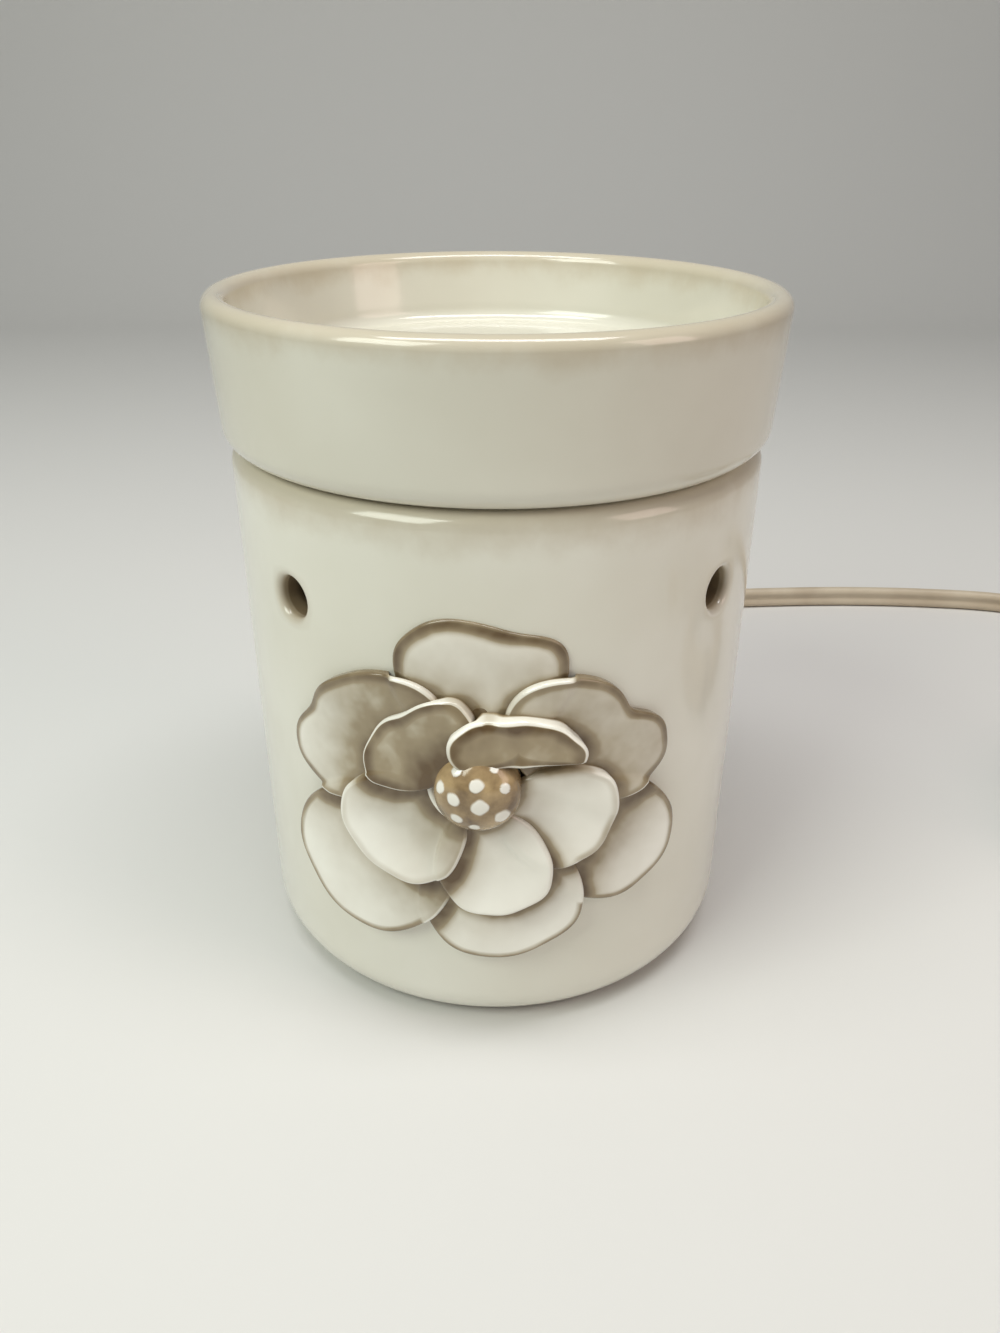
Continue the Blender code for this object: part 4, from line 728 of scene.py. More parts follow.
def petal_outline(petal):
    """An egg with its broad end outwards, as spokes from a point near its middle.

    A bell-shaped dent shortens the spokes, and slight waves, five and nine round the edge, vary them.
    """
    dent_spread = 0.36
    a = math.tau * np.arange(PETAL_STEPS) / PETAL_STEPS
    turn = math.radians(petal.direction)
    length = petal.reach - petal.root
    share = (1 - np.cos(a)) / 2
    across = petal.half_width * np.sin(a) * (1 - petal.egg * np.cos(a))
    across += petal.shift * (1 - share) + petal.tip_shift * share
    sideways = (1 - PETAL_HEART) * petal.shift + PETAL_HEART * petal.tip_shift
    middle = np.array([petal.root + PETAL_HEART * length, sideways])
    turned_by = np.array([[math.cos(turn), math.sin(turn)], [-math.sin(turn), math.cos(turn)]])
    spoke = (np.stack([petal.root + length * share, across], axis=1) - middle) @ turned_by
    middle = middle @ turned_by
    size = np.linalg.norm(spoke, axis=1, keepdims=True)
    bite = petal.dent * np.exp(-(((a - math.pi - math.radians(petal.dent_turn)) / dent_spread) ** 2))
    wave = 0.22 * np.sin(5 * a + petal.direction) + 0.14 * np.sin(9 * a + 2 * petal.direction)
    spoke *= 1 + (wave * np.sin(a / 2) ** 2 - bite)[:, None] / size
    fall = np.minimum(spoke[:, 1], -1e-6)
    keep = np.where(middle[1] + spoke[:, 1] < petal.chord, (petal.chord - middle[1]) / fall, 1.0)
    return middle, spoke * keep[:, None]


def petal_rings(front_rows=30, bend_rows=5, side_rows=4):
    """A petal's rings, as columns: share of the front, swell and fall of the rim, way down the side."""
    bend = np.linspace(0, math.pi / 2, bend_rows + 1)[1:]
    side = np.linspace(0, 1, side_rows + 1)[1:]
    share = [np.linspace(0, 1, front_rows) ** 0.8, np.ones(bend_rows + side_rows), [0.0]]
    swell = [np.zeros(front_rows), np.sin(bend), np.ones(side_rows), [0.0]]
    fall = [np.zeros(front_rows), 1 - np.cos(bend), np.ones(side_rows + 1)]
    sink = [np.zeros(front_rows + bend_rows), side, [1.0]]
    return [np.concatenate(parts)[:, None] for parts in (share, swell, fall, sink)]


def pointing_up(petal):
    """From 0 for a petal that points down to 1 for one that points up."""
    return 0.5 + 0.5 * math.sin(math.radians(petal.direction))


# %% Flower: where the wash and the painted shade lie
# Painted shadow beside what stands over a petal is moved this far right and down. The corner, tail, edge and
# side amounts are wash and painted shade together.
SHADOW_RIGHT, SHADOW_DOWN = 0.5, 1.6
WASH_SHIFT = 1.8
CORNER_WASH_AND_SHADE, CORNER_REACH = 0.75, 3.2
TAIL_WASH_AND_SHADE, TAIL_REACH = 0.22, 8.0
EDGE_WASH, SIDE_WASH_AND_SHADOW, SIDE_WIPED = 0.85, 0.85, 0.78
OPEN_EDGE, BAND_LEAST, BAND_MORE = 0.6, 0.8, 2.0
CENTRE_REACH, CENTRE_SHELTER = 0.7, 0.3


def crevice(gap):
    """How much wash and painted shade lie beside what stands over it: most in the corner, with a long faint
    tail.
    """
    corner = CORNER_WASH_AND_SHADE * (1 - smoothstep(-0.5, CORNER_REACH, gap))
    return corner + TAIL_WASH_AND_SHADE * (1 - smoothstep(-0.5, TAIL_REACH, gap))


def rim_wash_and_shadow(petal, from_rim, fall, over_petals):
    """Wash on a petal's edge, broader the more it points up, and its side; over the wall it is also a painted
    shadow line.
    """
    upper = pointing_up(petal)
    band = BAND_LEAST + BAND_MORE * upper
    strength = upper + OPEN_EDGE * (1 - upper) * (1 - over_petals)
    front = strength * (1 - smoothstep(0.1 * band, band, from_rim))
    return EDGE_WASH * np.where(fall > 0, SIDE_WASH_AND_SHADOW - SIDE_WIPED * over_petals, front)


def hollow_wash_and_shade(petal, above, right, up):
    """Wash and painted shade round the button and beside the petals over this one, the shadow a little below
    them and to their right.
    """
    from_button = np.hypot(right + WASH_SHIFT, up - BUTTON_UP) - BUTTON_RADIUS
    cover = crevice(CENTRE_REACH * from_button) * (CENTRE_SHELTER if petal.chord > 0 else 1.0)
    for other in above:
        cover = np.maximum(cover, crevice(past_edge(other, right - SHADOW_RIGHT, up + SHADOW_DOWN)))
    return cover


# %% Flower: grids of a petal and of the collar
# Where past its edge a lower petal fades out, from and to: when it is cleared, and when it is draped over
CLEAR_EDGE, DRAPE_EDGE = (0.2, 1.6), (-1.6, 2.0)
CLEARANCE, CLEARANCE_SOFT = 0.35, 0.2
PETAL_RIPPLE, PETAL_DROOP = 0.2, 1.5
FOOT_DEPTH, FOOT_LOWEST = 0.6, -0.2
COLLAR_BEAD, COLLAR_ROOT, COLLAR_HEIGHT, COLLAR_DIP = 0.6, -2.5, 3.0, 2.4
COLLAR_WASH, COLLAR_SWING = 0.4, 0.35


def petal_grid(petal, below, above):
    """Rings from the front's middle to the rim, round it and down into what is below, with wash and painted
    shade.
    """
    share, swell, fall, sink = petal_rings()
    middle, spoke = petal_outline(petal)
    size = np.linalg.norm(spoke, axis=1)[None]
    upper = pointing_up(petal)
    rim = PETAL_RIM if petal.chord > 0 else PETAL_RIM - RIM_THINNER * upper
    scale = (share * (size - rim) + swell * rim) / size
    right = middle[0] + scale * spoke[:, 0]
    up = middle[1] + scale * spoke[:, 1]
    under = under_height(below, right, up, *CLEAR_EDGE)
    drape = under_height(below, right, up, *DRAPE_EDGE)
    over_petals = smoothstep(0.3, 1.4, drape)
    around = np.arctan2(spoke[:, 1], spoke[:, 0])
    ripple = PETAL_RIPPLE * np.sin(4 * around + 3 * petal.direction) * share**3
    droop = PETAL_DROOP * upper * (1 - over_petals) * share**5
    own = front_height(petal, right, up) + ripple - droop
    top = soft_max(own, drape + lap(petal, right, up), LAP_SOFT)
    top = soft_max(top, under + CLEARANCE, CLEARANCE_SOFT) - rim * fall
    height = (1 - sink) * top + sink * np.maximum(under - FOOT_DEPTH, FOOT_LOWEST)
    # Besides the wash: a painted shadow line where an edge stands off the wall, painted shade at the foot,
    # painted shadow beside the petals above, and the petal's own painted shade
    edge_wash_and_shadow = rim_wash_and_shadow(petal, (1 - share) * (size - rim), fall, over_petals)
    foot_wash_and_shade = smoothstep(0.45, 1.0, sink) * np.ones_like(right)
    wash_and_shade = np.maximum.reduce([edge_wash_and_shadow, foot_wash_and_shade, hollow_wash_and_shade(petal, above, right, up)])
    left = 1 - petal.fade * smoothstep(0.3, 0.95, in_petal(petal, right, up)[0])
    shade = np.where(fall > 0, 0.0, petal.shade * left)
    return on_wall(right, up, height), wash_and_shade + shade * (1 - wash_and_shade)


def collar_grid():
    """The bead of clay that holds the button: a ring with a half-round section, sunk into the petals."""
    ends = [(COLLAR_BEAD, COLLAR_ROOT)], [(-COLLAR_BEAD, COLLAR_ROOT)]
    section = np.vstack([ends[0], arc((0.0, 0.0), COLLAR_BEAD, 0, 180, 10), ends[1]])
    a = math.tau * np.arange(PETAL_STEPS) / PETAL_STEPS
    pale = np.cos(a - COLLAR_PALE)
    radius = BUTTON_RADIUS + 0.4 + section[:, :1]
    height = COLLAR_HEIGHT + section[:, 1:] - COLLAR_DIP * smoothstep(-0.3, 0.6, -pale)
    wash_and_shade = COLLAR_WASH - COLLAR_SWING * pale * np.ones_like(section[:, 1:])
    return on_wall(radius * np.cos(a), BUTTON_UP + radius * np.sin(a), height), wash_and_shade


# %% Flower finish: clay under a wiped brown wash with painted shade, and white glaze
def petal_finish():
    """Wash and painted shade under the glaze change colour but not shine: white where wiped, sepia where it
    stays or shade is painted.
    """
    finish = start_finish("earthenware_white_glaze_over_wash_and_painted_shade", IOR=1.5, Coat_Weight=0.4, Coat_Roughness=0.06)
    spot = add_node(finish, "TexCoord", output="Object")
    wash_and_shade = add_node(finish, "Attribute", attribute_name="wash_and_shade", output="Fac")
    streak = add_node(finish, "TexNoise", Vector=spot, Scale=1 / (5 * MM), Detail=2.0)
    cloud = add_node(finish, "TexNoise", Vector=spot, Scale=1 / (13 * MM), Detail=3.0)
    broken = add_node(finish, "MapRange", streak, 0.25, 0.75, 0.75, 1.15)
    amount = add_node(finish, "Math", wash_and_shade, broken, operation="MULTIPLY")
    haze = add_node(finish, "MapRange", cloud, 0.35, 0.75, 0.0, 0.1)
    stain = add_node(finish, "Math", amount, haze, operation="ADD", use_clamp=True)
    thin = add_node(finish, "MapRange", stain, 0.0, 0.55)
    thick = add_node(finish, "MapRange", stain, 0.45, 1.0)
    tan = add_node(finish, "Mix", thin, "#f8f6ec", "#a6977a", data_type="RGBA")
    fill_shader(
        finish,
        Base_Color=add_node(finish, "Mix", thick, tan, "#5c472c", data_type="RGBA"),
        Roughness=add_node(finish, "MapRange", cloud, 0.0, 1.0, 0.1, 0.22),
        Normal=add_node(finish, "Bump", Height=cloud, Strength=0.35, Distance=1.2 * MM),
    )
    return finish


petal_glaze = petal_finish()

# %% Flower: all petals in one mesh
# Each petal's wash and painted shade go into one attribute
points, faces, washes_and_shade = [], [], []
count = 0
grids = [petal_grid(petal, PETALS[:number], PETALS[number + 1:]) for number, petal in enumerate(PETALS)]
for grid, wash_and_shade in [*grids, collar_grid()]:
    faces.append(grid_faces(*grid.shape[:2], first=count))
    points.append(grid.reshape(-1, 3))
    washes_and_shade.append(wash_and_shade.ravel())
    count += wash_and_shade.size
marks = {"wash_and_shade": np.concatenate(washes_and_shade)}
petal_mesh = new_mesh("clay_petals", np.vstack(points) * MM, np.vstack(faces), marks)
show("clay_petals", petal_mesh, petal_glaze, "base", ["flower_petals"], sharp=70.0)

# %% [markdown]
# ## The button in the flower
# A small dome of brown glaze with pale slip dots. Dome and seat are rings round the flower's own axis. The
# dots are given one by one, as on the real one, and are slightly raised.

# %% Button
BUTTON_SEAT, BUTTON_SHOULDER, BUTTON_TOP = 1.6, 4.0, 9.0
DOT_HEIGHT = 0.12
# Each dot: how far right of the button's middle and how far above it, and its radius
DOTS = (
    (-6.4, 2.3, 1.1), (-3.9, 1.0, 1.25), (0.2, 4.0, 1.25), (0.8, -0.1, 1.55), (5.1, 3.0, 1.0),
    (-3.4, -3.2, 1.15), (-0.3, -5.2, 1.0), (4.7, -2.7, 1.5), (-3.4, 5.8, 1.0), (3.2, 6.3, 0.8),
)


def dome_height(radius):
    """Half an ellipse on its shoulder: s + (top - s) sqrt(1 - (r / R)^2)."""
    rise = np.sqrt(np.clip(1 - (radius / BUTTON_RADIUS) ** 2, 0, 1))
    return BUTTON_SHOULDER + (BUTTON_TOP - BUTTON_SHOULDER) * rise


def button_grid(rows=64, columns=128):
    """Rings of the dome from its seat to its top. The slip dots have ragged edges and stand out a little."""
    t = np.linspace(0, math.pi / 2, rows)[:, None]
    a = math.tau * np.arange(columns)[None] / columns
    r = BUTTON_RADIUS * np.cos(t) * np.ones_like(a)
    x, y = r * np.cos(a), r * np.sin(a)
    dome = np.stack([x, y, dome_height(r)], axis=-1)
    dots = np.array(DOTS)
    middle = np.column_stack([dots[:, :2], dome_height(np.hypot(dots[:, 0], dots[:, 1]))])
    ragged = 1 + 0.06 * np.sin(2.3 * x + 1.7 * y) + 0.05 * np.sin(3.1 * y - x)
    near = np.linalg.norm(dome[:, :, None] - middle, axis=-1) / dots[:, 2] * ragged[..., None]
    dot = 1 - smoothstep(0.85, 1.1, near.min(axis=-1))
    dome[..., 2] += DOT_HEIGHT * dot
    skirt = np.stack([x[0], y[0], np.full(columns, BUTTON_SEAT)], axis=-1)
    base = skirt * [0.0, 0.0, 1.0]
    return np.concatenate([base[None], skirt[None], dome]), np.concatenate([np.zeros((2, columns)), dot])


def button_finish():
    """Brown glaze in darker and paler pools, with dots of pale slip."""
    finish = start_finish("brown_glaze_with_slip_dots", IOR=1.52, Coat_Weight=0.5, Coat_Roughness=0.05)
    spot = add_node(finish, "TexCoord", output="Object")
    dots = add_node(finish, "Attribute", attribute_name="dot", output="Fac")
    pool = add_node(finish, "TexNoise", Vector=spot, Scale=1 / (4 * MM), Detail=4.0)
    patch = add_node(finish, "MapRange", pool, 0.3, 0.7)
    brown = add_node(finish, "Mix", patch, "#6e573a", "#b89e74", data_type="RGBA")
    fill_shader(
        finish,
        Base_Color=add_node(finish, "Mix", dots, brown, "#efece2", data_type="RGBA"),
        Roughness=add_node(finish, "MapRange", pool, 0.0, 1.0, 0.1, 0.22),
    )
    return finish


def on_flower(grid):
    """Stands a grid (right, up, out) on the wall at the flower's middle, without bending it."""
    c, s = math.cos(FLOWER_TURN), math.sin(FLOWER_TURN)
    across, up, reach = grid[..., 0], grid[..., 1], BODY_RADIUS + grid[..., 2]
    return np.stack([c * across + s * reach, s * across - c * reach, FLOWER_Z + BUTTON_UP + up], axis=-1)


dome, dot = button_grid()
button_glaze = button_finish()
show_grid(
    "slip_dotted_button", on_flower(dome), button_glaze, "base", ["flower_button"],
    marks={"dot": dot},
)

# %% [markdown]
# ## Strain relief, switch, tie and plug
# Relief, switch and plug are injection-moulded in the cord's own cream, and the roller and the tie in black.
# Mouldings have rounded edges and a fine grain. Each is a stack of outlines with the same number of points:
# rounded rectangles for the relief and the plug, round-ended ones for the switch. Ribs are waves in the size
# of the outlines.

# %% Moulded finishes
moulded_cream = pvc_finish("cream_pvc_moulded", "#dbd2c1", "#cdc2ad", 0.38)


def dark_finish(name, colour, worn, rough):
    """Moulded dark plastic: a satin grain about half a millimetre wide, paler where it is handled."""
    finish = start_finish(name, IOR=1.52)
    spot = add_node(finish, "TexCoord", output="Object")
    grain = add_node(finish, "TexNoise", Vector=spot, Scale=1 / (0.5 * MM), Detail=2.0)
    use = add_node(finish, "TexNoise", Vector=spot, Scale=1 / (12 * MM), Detail=4.0)
    tone = add_node(finish, "MapRange", use, 0.4, 0.75)
    fill_shader(
        finish,
        Base_Color=add_node(finish, "Mix", tone, colour, worn, data_type="RGBA"),
        Roughness=add_node(finish, "MapRange", use, 0.0, 1.0, rough - 0.08, rough + 0.12),
        Normal=add_node(finish, "Bump", Height=grain, Strength=0.2, Distance=0.06 * MM),
    )
    return finish


dark_moulding = dark_finish("black_nylon_moulded", "#1c1b1a", "#2c2a28", 0.45)
phenolic = dark_finish("brown_black_phenolic_pressed", "#211a17", "#31261f", 0.3)


# %% Tools for mouldings
def soft_outline(width, height, steps=40, power=0.5):
    """A rounded rectangle: half sizes times the signed power of cosine and sine."""
    a = math.tau * (np.arange(steps) + 0.5) / steps
    wave = np.stack([np.cos(a), np.sin(a)], axis=1)
    return np.array([width / 2, height / 2]) * np.copysign(np.abs(wave) ** power, wave)


def loft(x, y, z, width, height, steps=40):
    """Rounded rectangles along Y, closed at both ends. Each row has its middle, its width and its height."""
    outline = soft_outline(1.0, 1.0, steps)
    across = x + width[:, None] * outline[:, 0]
    up = np.broadcast_to(z, y.shape)[:, None] + height[:, None] * outline[:, 1]
    return capped(np.stack([across, np.repeat(y[:, None], steps, axis=1), up], axis=-1))


def rib_wave(share, depth, pitch, rise, fall):
    """Ribs along a sleeve: depth times 1 - cos of the ribs so far, faded in and out over two stretches."""
    wave = depth * (1 - np.cos(math.tau * share / pitch))
    return wave * smoothstep(*rise, share) * (1 - smoothstep(*fall, share))


# %% Strain relief: collar, neck in the notch, ribbed tail
def relief_grid(rows=90):
    """Rounded rectangles along the exit. The tail shrinks evenly, less a wave for its ribs."""
    collar, neck, tail_start = 33.5, 36.4, 38.7
    collar_width, collar_low, collar_high = 9.9, 3.2, 11.7
    y = np.concatenate([
        np.linspace(collar, neck, 5), np.linspace(neck + 0.1, tail_start - 0.1, 5),
        np.linspace(tail_start + 0.1, RELIEF_TIP, rows),
    ])
    share = np.clip((y - BODY_RADIUS) / (RELIEF_TIP - BODY_RADIUS), 0, 1)
    ribs = rib_wave(share, 0.32, 1 / 7, (0.02, 0.1), (0.9, 0.98))
    width = np.where(y <= neck, collar_width, 7.4 - 2.1 * share) - 2 * ribs
    low = np.where(y < tail_start, collar_low, 0.2 + 0.25 * share) + ribs * 0.5
    high = np.where(y <= neck, collar_high, 8.9 - 0.15 * share) - ribs
    return loft(0.0, y, (low + high) / 2, width, high - low)


show_grid("strain_relief", relief_grid(), moulded_cream, "base", ["cord_relief"])

# %% Switch case: two round-ended shells, the upper one with a slot for its roller
SWITCH_LOW, SWITCH_SPLIT, SWITCH_TOP = 0.2, 7.7, 15.5
SWITCH_HALF_WIDTH = 11.0
CASE_WALL = 2.0
CASE_EDGE = 2.0
CASE_GAP = 0.3


def stadium(inset, steps=72):
    """A round-ended outline: a circle whose two halves are moved apart along Y."""
    a = math.tau * (np.arange(steps) + 0.5) / steps
    radius = SWITCH_HALF_WIDTH - inset
    straight = SWITCH_HALF - SWITCH_HALF_WIDTH
    return np.stack([radius * np.cos(a), radius * np.sin(a) + np.copysign(straight, np.sin(a))], axis=1)


def stack_grid(rows):
    """Outlines at their heights, moved to the switch's place on the floor."""
    place = np.array([SWITCH_X, SWITCH_Y])
    return np.stack([np.column_stack([outline + place, np.full(len(outline), z)]) for outline, z in rows])


def rounded_edge(height, up):
    """Rows of a quarter-round edge from a case's face to its side."""
    bends = np.radians(np.linspace(90, 0, 6))
    return [(stadium(CASE_EDGE * (1 - math.cos(b))), height + up * CASE_EDGE * math.sin(b)) for b in bends]


slot = soft_outline(7.2, 15.0, 72, 0.3)
side, lip, inner = stadium(0.0), stadium(0.3), stadium(CASE_WALL)
case_floor, case_roof, roof_low = SWITCH_LOW + CASE_WALL, SWITCH_TOP - CASE_WALL, SWITCH_SPLIT + CASE_GAP
floor_rows = [
    (side * 0, SWITCH_LOW), *rounded_edge(SWITCH_LOW + CASE_EDGE, -1), (side, SWITCH_SPLIT - 0.4),
    (lip, SWITCH_SPLIT), (inner, SWITCH_SPLIT), (inner, case_floor), (inner * 0, case_floor),
]
roof_rows = [
    (slot, SWITCH_TOP - 0.4), (slot * [1.1, 1.05], SWITCH_TOP), ((slot * 1.4 + stadium(5.0)) / 2, SWITCH_TOP),
    *rounded_edge(SWITCH_TOP - CASE_EDGE, 1), (side, roof_low + 0.4), (lip, roof_low), (inner, roof_low),
    (inner, case_roof), (slot, case_roof),
]
switch_pieces = [
    show_grid(name, stack_grid(rows), moulded_cream, "base", [node], close_rows=closed)
    for name, node, rows, closed in (
        ("switch_floor", "switch_lower_case", floor_rows, False),
        ("switch_roof", "switch_upper_case", roof_rows, True),
    )
]

# %% Switch roller
ROLLER_RADIUS, ROLLER_HALF, ROLLER_Z, ROLLER_BORE = 7.2, 3.0, 10.6, 1.5
ROLLER_RIDGES, ROLLER_EDGE, ROLLER_TREAD = 24, 0.8, 1.4
roller_profile = np.vstack([
    [(ROLLER_BORE, -ROLLER_HALF), (ROLLER_RADIUS - ROLLER_TREAD, -ROLLER_HALF)],
    arc((ROLLER_RADIUS - ROLLER_EDGE, ROLLER_EDGE - ROLLER_HALF), ROLLER_EDGE, -60, 0, 4),
    arc((ROLLER_RADIUS - ROLLER_EDGE, ROLLER_HALF - ROLLER_EDGE), ROLLER_EDGE, 0, 60, 4),
    [(ROLLER_RADIUS - ROLLER_TREAD, ROLLER_HALF), (ROLLER_BORE, ROLLER_HALF)],
])


def ridges(count, depth, squash, middle, half):
    """Flat-topped ridges on a rim: the squashed sine of the angle, only near one height."""
    def ripple(a, height):
        wave = depth * (np.tanh(squash * np.sin(count * a)) - 1)
        return np.where(np.abs(height - middle) < half, wave, 0.0)
    return ripple


wheel = turned(roller_profile, 8 * ROLLER_RIDGES, ridges(ROLLER_RIDGES, 0.22, 3, 0.0, ROLLER_HALF - 0.3))
wheel = np.stack([SWITCH_X + wheel[..., 2], SWITCH_Y + wheel[..., 0], ROLLER_Z + wheel[..., 1]], axis=-1)
switch_wheel = show_grid(
    "switch_wheel", wheel, dark_moulding, "roller", ["switch_roller"], close_rows=True
)

# %% Tie round the coil
TIE_BAND, TIE_TAPER = 0.6, 0.125
tie_low, tie_high = [np.array(corner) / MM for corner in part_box("cord_tie")]


def tie_grid(rows=9):
    """A flat band: a rounded rectangle round the turns, outside and inside, a little thinner at its edges."""
    across = np.linspace(-1, 1, rows)
    taper = TIE_BAND * TIE_TAPER * np.abs(across) ** 6
    middle, size = (tie_low + tie_high) / 2, tie_high - tie_low
    loops = []
    for share, shrink in [*zip(across, taper), *zip(across[::-1], TIE_BAND - taper[::-1])]:
        outline = soft_outline(size[0] - 2 * shrink, size[2] - 2 * shrink, 72, 0.16)
        y = np.full(len(outline), middle[1] + share * size[1] / 2)
        loops.append(np.column_stack([middle[0] + outline[:, 0], y, middle[2] + outline[:, 1]]))
    return np.stack(loops)


coil_tie = show_grid(
    "coil_tie", tie_grid(), dark_moulding, "base", ["cord_tie"], close_rows=True
)

# %% Plug
PLUG_LENGTH, PLUG_NECK, GRIP_WIDER, GRIP_TALLER = 32.0, 9.0, 16.8, 4.0


def plug_grid(rows=70):
    """Rounded rectangles along the plug: a smooth step widens the ribbed neck into the round-faced grip."""
    share = np.linspace(0, 1, rows)
    open_up = smoothstep(0.27, 0.52, share)
    face = np.sqrt(np.clip(1 - (np.clip(share - 0.93, 0, 1) / 0.075) ** 2, 0.04, 1))
    ribs = rib_wave(share, 0.3, 0.065, (0.01, 0.05), (0.22, 0.27))
    width = (PLUG_NECK + GRIP_WIDER * open_up) * (0.92 + 0.08 * face) - 2 * ribs
    height = (PLUG_NECK + GRIP_TALLER * open_up) * (0.85 + 0.15 * face) - 2 * ribs
    return loft(SWITCH_X, PLUG_Y - PLUG_LENGTH * share, PLUG_Z, width, height, 56)


plug_grip = show_grid("plug_grip", plug_grid(), moulded_cream, "base", ["plug_body"])

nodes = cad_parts

# %% [markdown]
# ## The lamp and its holder
# Under the dish stands a small clear globe lamp. Its screw cap and the brass shell of the holder carry the
# same thread, so both are turned profiles with a wave that climbs by one pitch for each turn. The holder is
# pressed phenolic, clamped through the ceramic floor by a ridged nut.

# %% Metal finishes
def metal_finish(name, light, dark, rough, grain_mm):
    """Bare metal: coloured reflections, a fine turned grain, and a little tarnish in clouds."""
    finish = start_finish(name, Metallic=1.0)
    spot = add_node(finish, "TexCoord", output="Object")
    stretch = add_node(finish, "Mapping", spot, Scale=(0.25, 0.25, 1.0))
    grain = add_node(finish, "TexNoise", Vector=stretch, Scale=1 / (grain_mm * MM), Detail=2.0)
    tarnish = add_node(finish, "TexNoise", Vector=spot, Scale=1 / (7 * MM), Detail=4.0)
    tone = add_node(finish, "MapRange", tarnish, 0.4, 0.75)
    fill_shader(
        finish,
        Base_Color=add_node(finish, "Mix", tone, light, dark, data_type="RGBA"),
        Roughness=add_node(finish, "MapRange", grain, 0.0, 1.0, rough - 0.08, rough + 0.1),
        Normal=add_node(finish, "Bump", Height=grain, Strength=0.1, Distance=0.04 * MM),
    )
    return finish


brass = metal_finish("brass_stamped", "#d2b06a", "#a98a4c", 0.28, 0.5)
steel = metal_finish("steel_zinc_plated", "#c9c9c6", "#a4a5a4", 0.32, 0.4)
cap_metal = metal_finish("aluminium_rolled", "#d8d8d4", "#bebfbc", 0.3, 0.5)
tungsten = metal_finish("tungsten_drawn", "#77777a", "#5a5a5d", 0.4, 0.2)

# %% Glass finishes
def glass_finish(name, low, high, **sockets):
    """Blown or moulded glass: smooth, with slow waves about a centimetre long and a faint bloom."""
    finish = start_finish(name, **sockets)
    spot = add_node(finish, "TexCoord", output="Object")
    wave = add_node(finish, "TexNoise", Vector=spot, Scale=1 / (10 * MM), Detail=1.0)
    fill_shader(
        finish,
        Roughness=add_node(finish, "MapRange", wave, 0.0, 1.0, low, high),
        Normal=add_node(finish, "Bump", Height=wave, Strength=0.1, Distance=0.2 * MM),
    )
    return finish


lamp_glass = glass_finish(
    "soda_lime_glass_blown", 0.01, 0.04, Base_Color="#f4f6f4", IOR=1.5, Transmission_Weight=1.0
)
black_glass = glass_finish("black_glass_moulded", 0.08, 0.2, Base_Color="#0d0d10", IOR=1.55)

# %% Lamp holder, nut and shell
HOLDER_TOP, SOCKET_FLOOR, HOLDER_BORE, BARREL, FLANGE = 46.0, 24.0, 1.5, 12.9, 21.0
NUT_BORE, NUT_RADIUS, NUT_LOW, NUT_TOP = 13.3, 19.3, 17.3, 22.3
SHELL_OUTER, SHELL_INNER, SHELL_TOP = 7.0, 6.4, 45.7
NUT_PITCH, CAP_PITCH = 1.5, 2.54


def thread(depth, pitch, low=-math.inf, high=math.inf, sink=0.0):
    """A screw thread between two heights: a wave in the radius that climbs by one pitch for each turn."""
    def ripple(a, height):
        wave = depth * np.sin(math.tau * height / pitch - a) - sink
        return np.where((height > low) & (height < high), wave, 0.0)
    return ripple


holder_profile = np.vstack([
    [(HOLDER_BORE, 8.2), (FLANGE - 0.5, 8.2), (FLANGE, 8.7), (FLANGE, 11.2), (FLANGE - 0.5, 11.7)],
    [(BARREL, 11.7)], line((BARREL, 11.7), (BARREL, 44.8), 110), arc((12.2, HOLDER_TOP - 0.8), 0.8, 0, 90, 4),
    [(7.8, HOLDER_TOP), (7.4, HOLDER_TOP - 0.4), (7.4, SOCKET_FLOOR), (HOLDER_BORE, SOCKET_FLOOR)],
])
nut_profile = np.vstack([
    [(NUT_BORE, NUT_LOW), (18.0, NUT_LOW)], arc((NUT_RADIUS - 0.8, NUT_LOW + 0.8), 0.8, -90, 0, 3),
    arc((NUT_RADIUS - 0.8, NUT_TOP - 0.8), 0.8, 0, 90, 3), [(NUT_BORE, NUT_TOP)],
])
shell_low = SOCKET_FLOOR + TOUCH
shell_profile = np.vstack([
    [(SHELL_OUTER, shell_low)], line((SHELL_OUTER, shell_low), (SHELL_OUTER, SHELL_TOP), 60),
    [(SHELL_OUTER, SHELL_TOP), (SHELL_INNER, SHELL_TOP)],
    line((SHELL_INNER, SHELL_TOP), (SHELL_INNER, shell_low), 60), [(SHELL_INNER, shell_low)],
])
barrel_thread = thread(0.14, NUT_PITCH, 12.0, 40.0, 0.1)
nut_lobes = ridges(12, 0.35, 2.5, (NUT_LOW + NUT_TOP) / 2, 2.0)
shell_thread = thread(0.12, CAP_PITCH)
show_turned("holder_barrel", holder_profile, 96, phenolic, "base", "lamp_holder", barrel_thread)
show_turned("holder_nut", nut_profile, 144, phenolic, "base", "holder_ring_nut", nut_lobes)
show_turned("holder_screw_shell", shell_profile, 64, brass, "base", "holder_shell", shell_thread)

# %% Lamp: cap, insulator and contact
CAP_RADIUS, CAP_LOW, CAP_TOP = 5.75, 30.2, 43.4
cap_profile = np.vstack([
    [(0.0, CAP_LOW), (5.4, CAP_LOW)], line((CAP_RADIUS, 30.6), (CAP_RADIUS, CAP_TOP), 48),
    [(CAP_RADIUS, CAP_TOP), (5.3, CAP_TOP), (5.2, 31.0), (0.0, 31.0)],
])
insulator_profile = [(0.0, 27.5), (2.9, 27.5), (3.5, 27.8), (5.1, 29.5), (5.1, 29.9), (0.0, 29.9)]
contact_profile = np.vstack([[(0.0, 27.2), (2.3, 27.2), (2.3, 26.7)], arc((0.0, 28.1), 2.3, -20, -90, 8)])
contact_profile[:, 1] = np.clip(contact_profile[:, 1], 25.8, 27.2)
cap_thread = thread(0.14, CAP_PITCH, 30.7, 43.3)
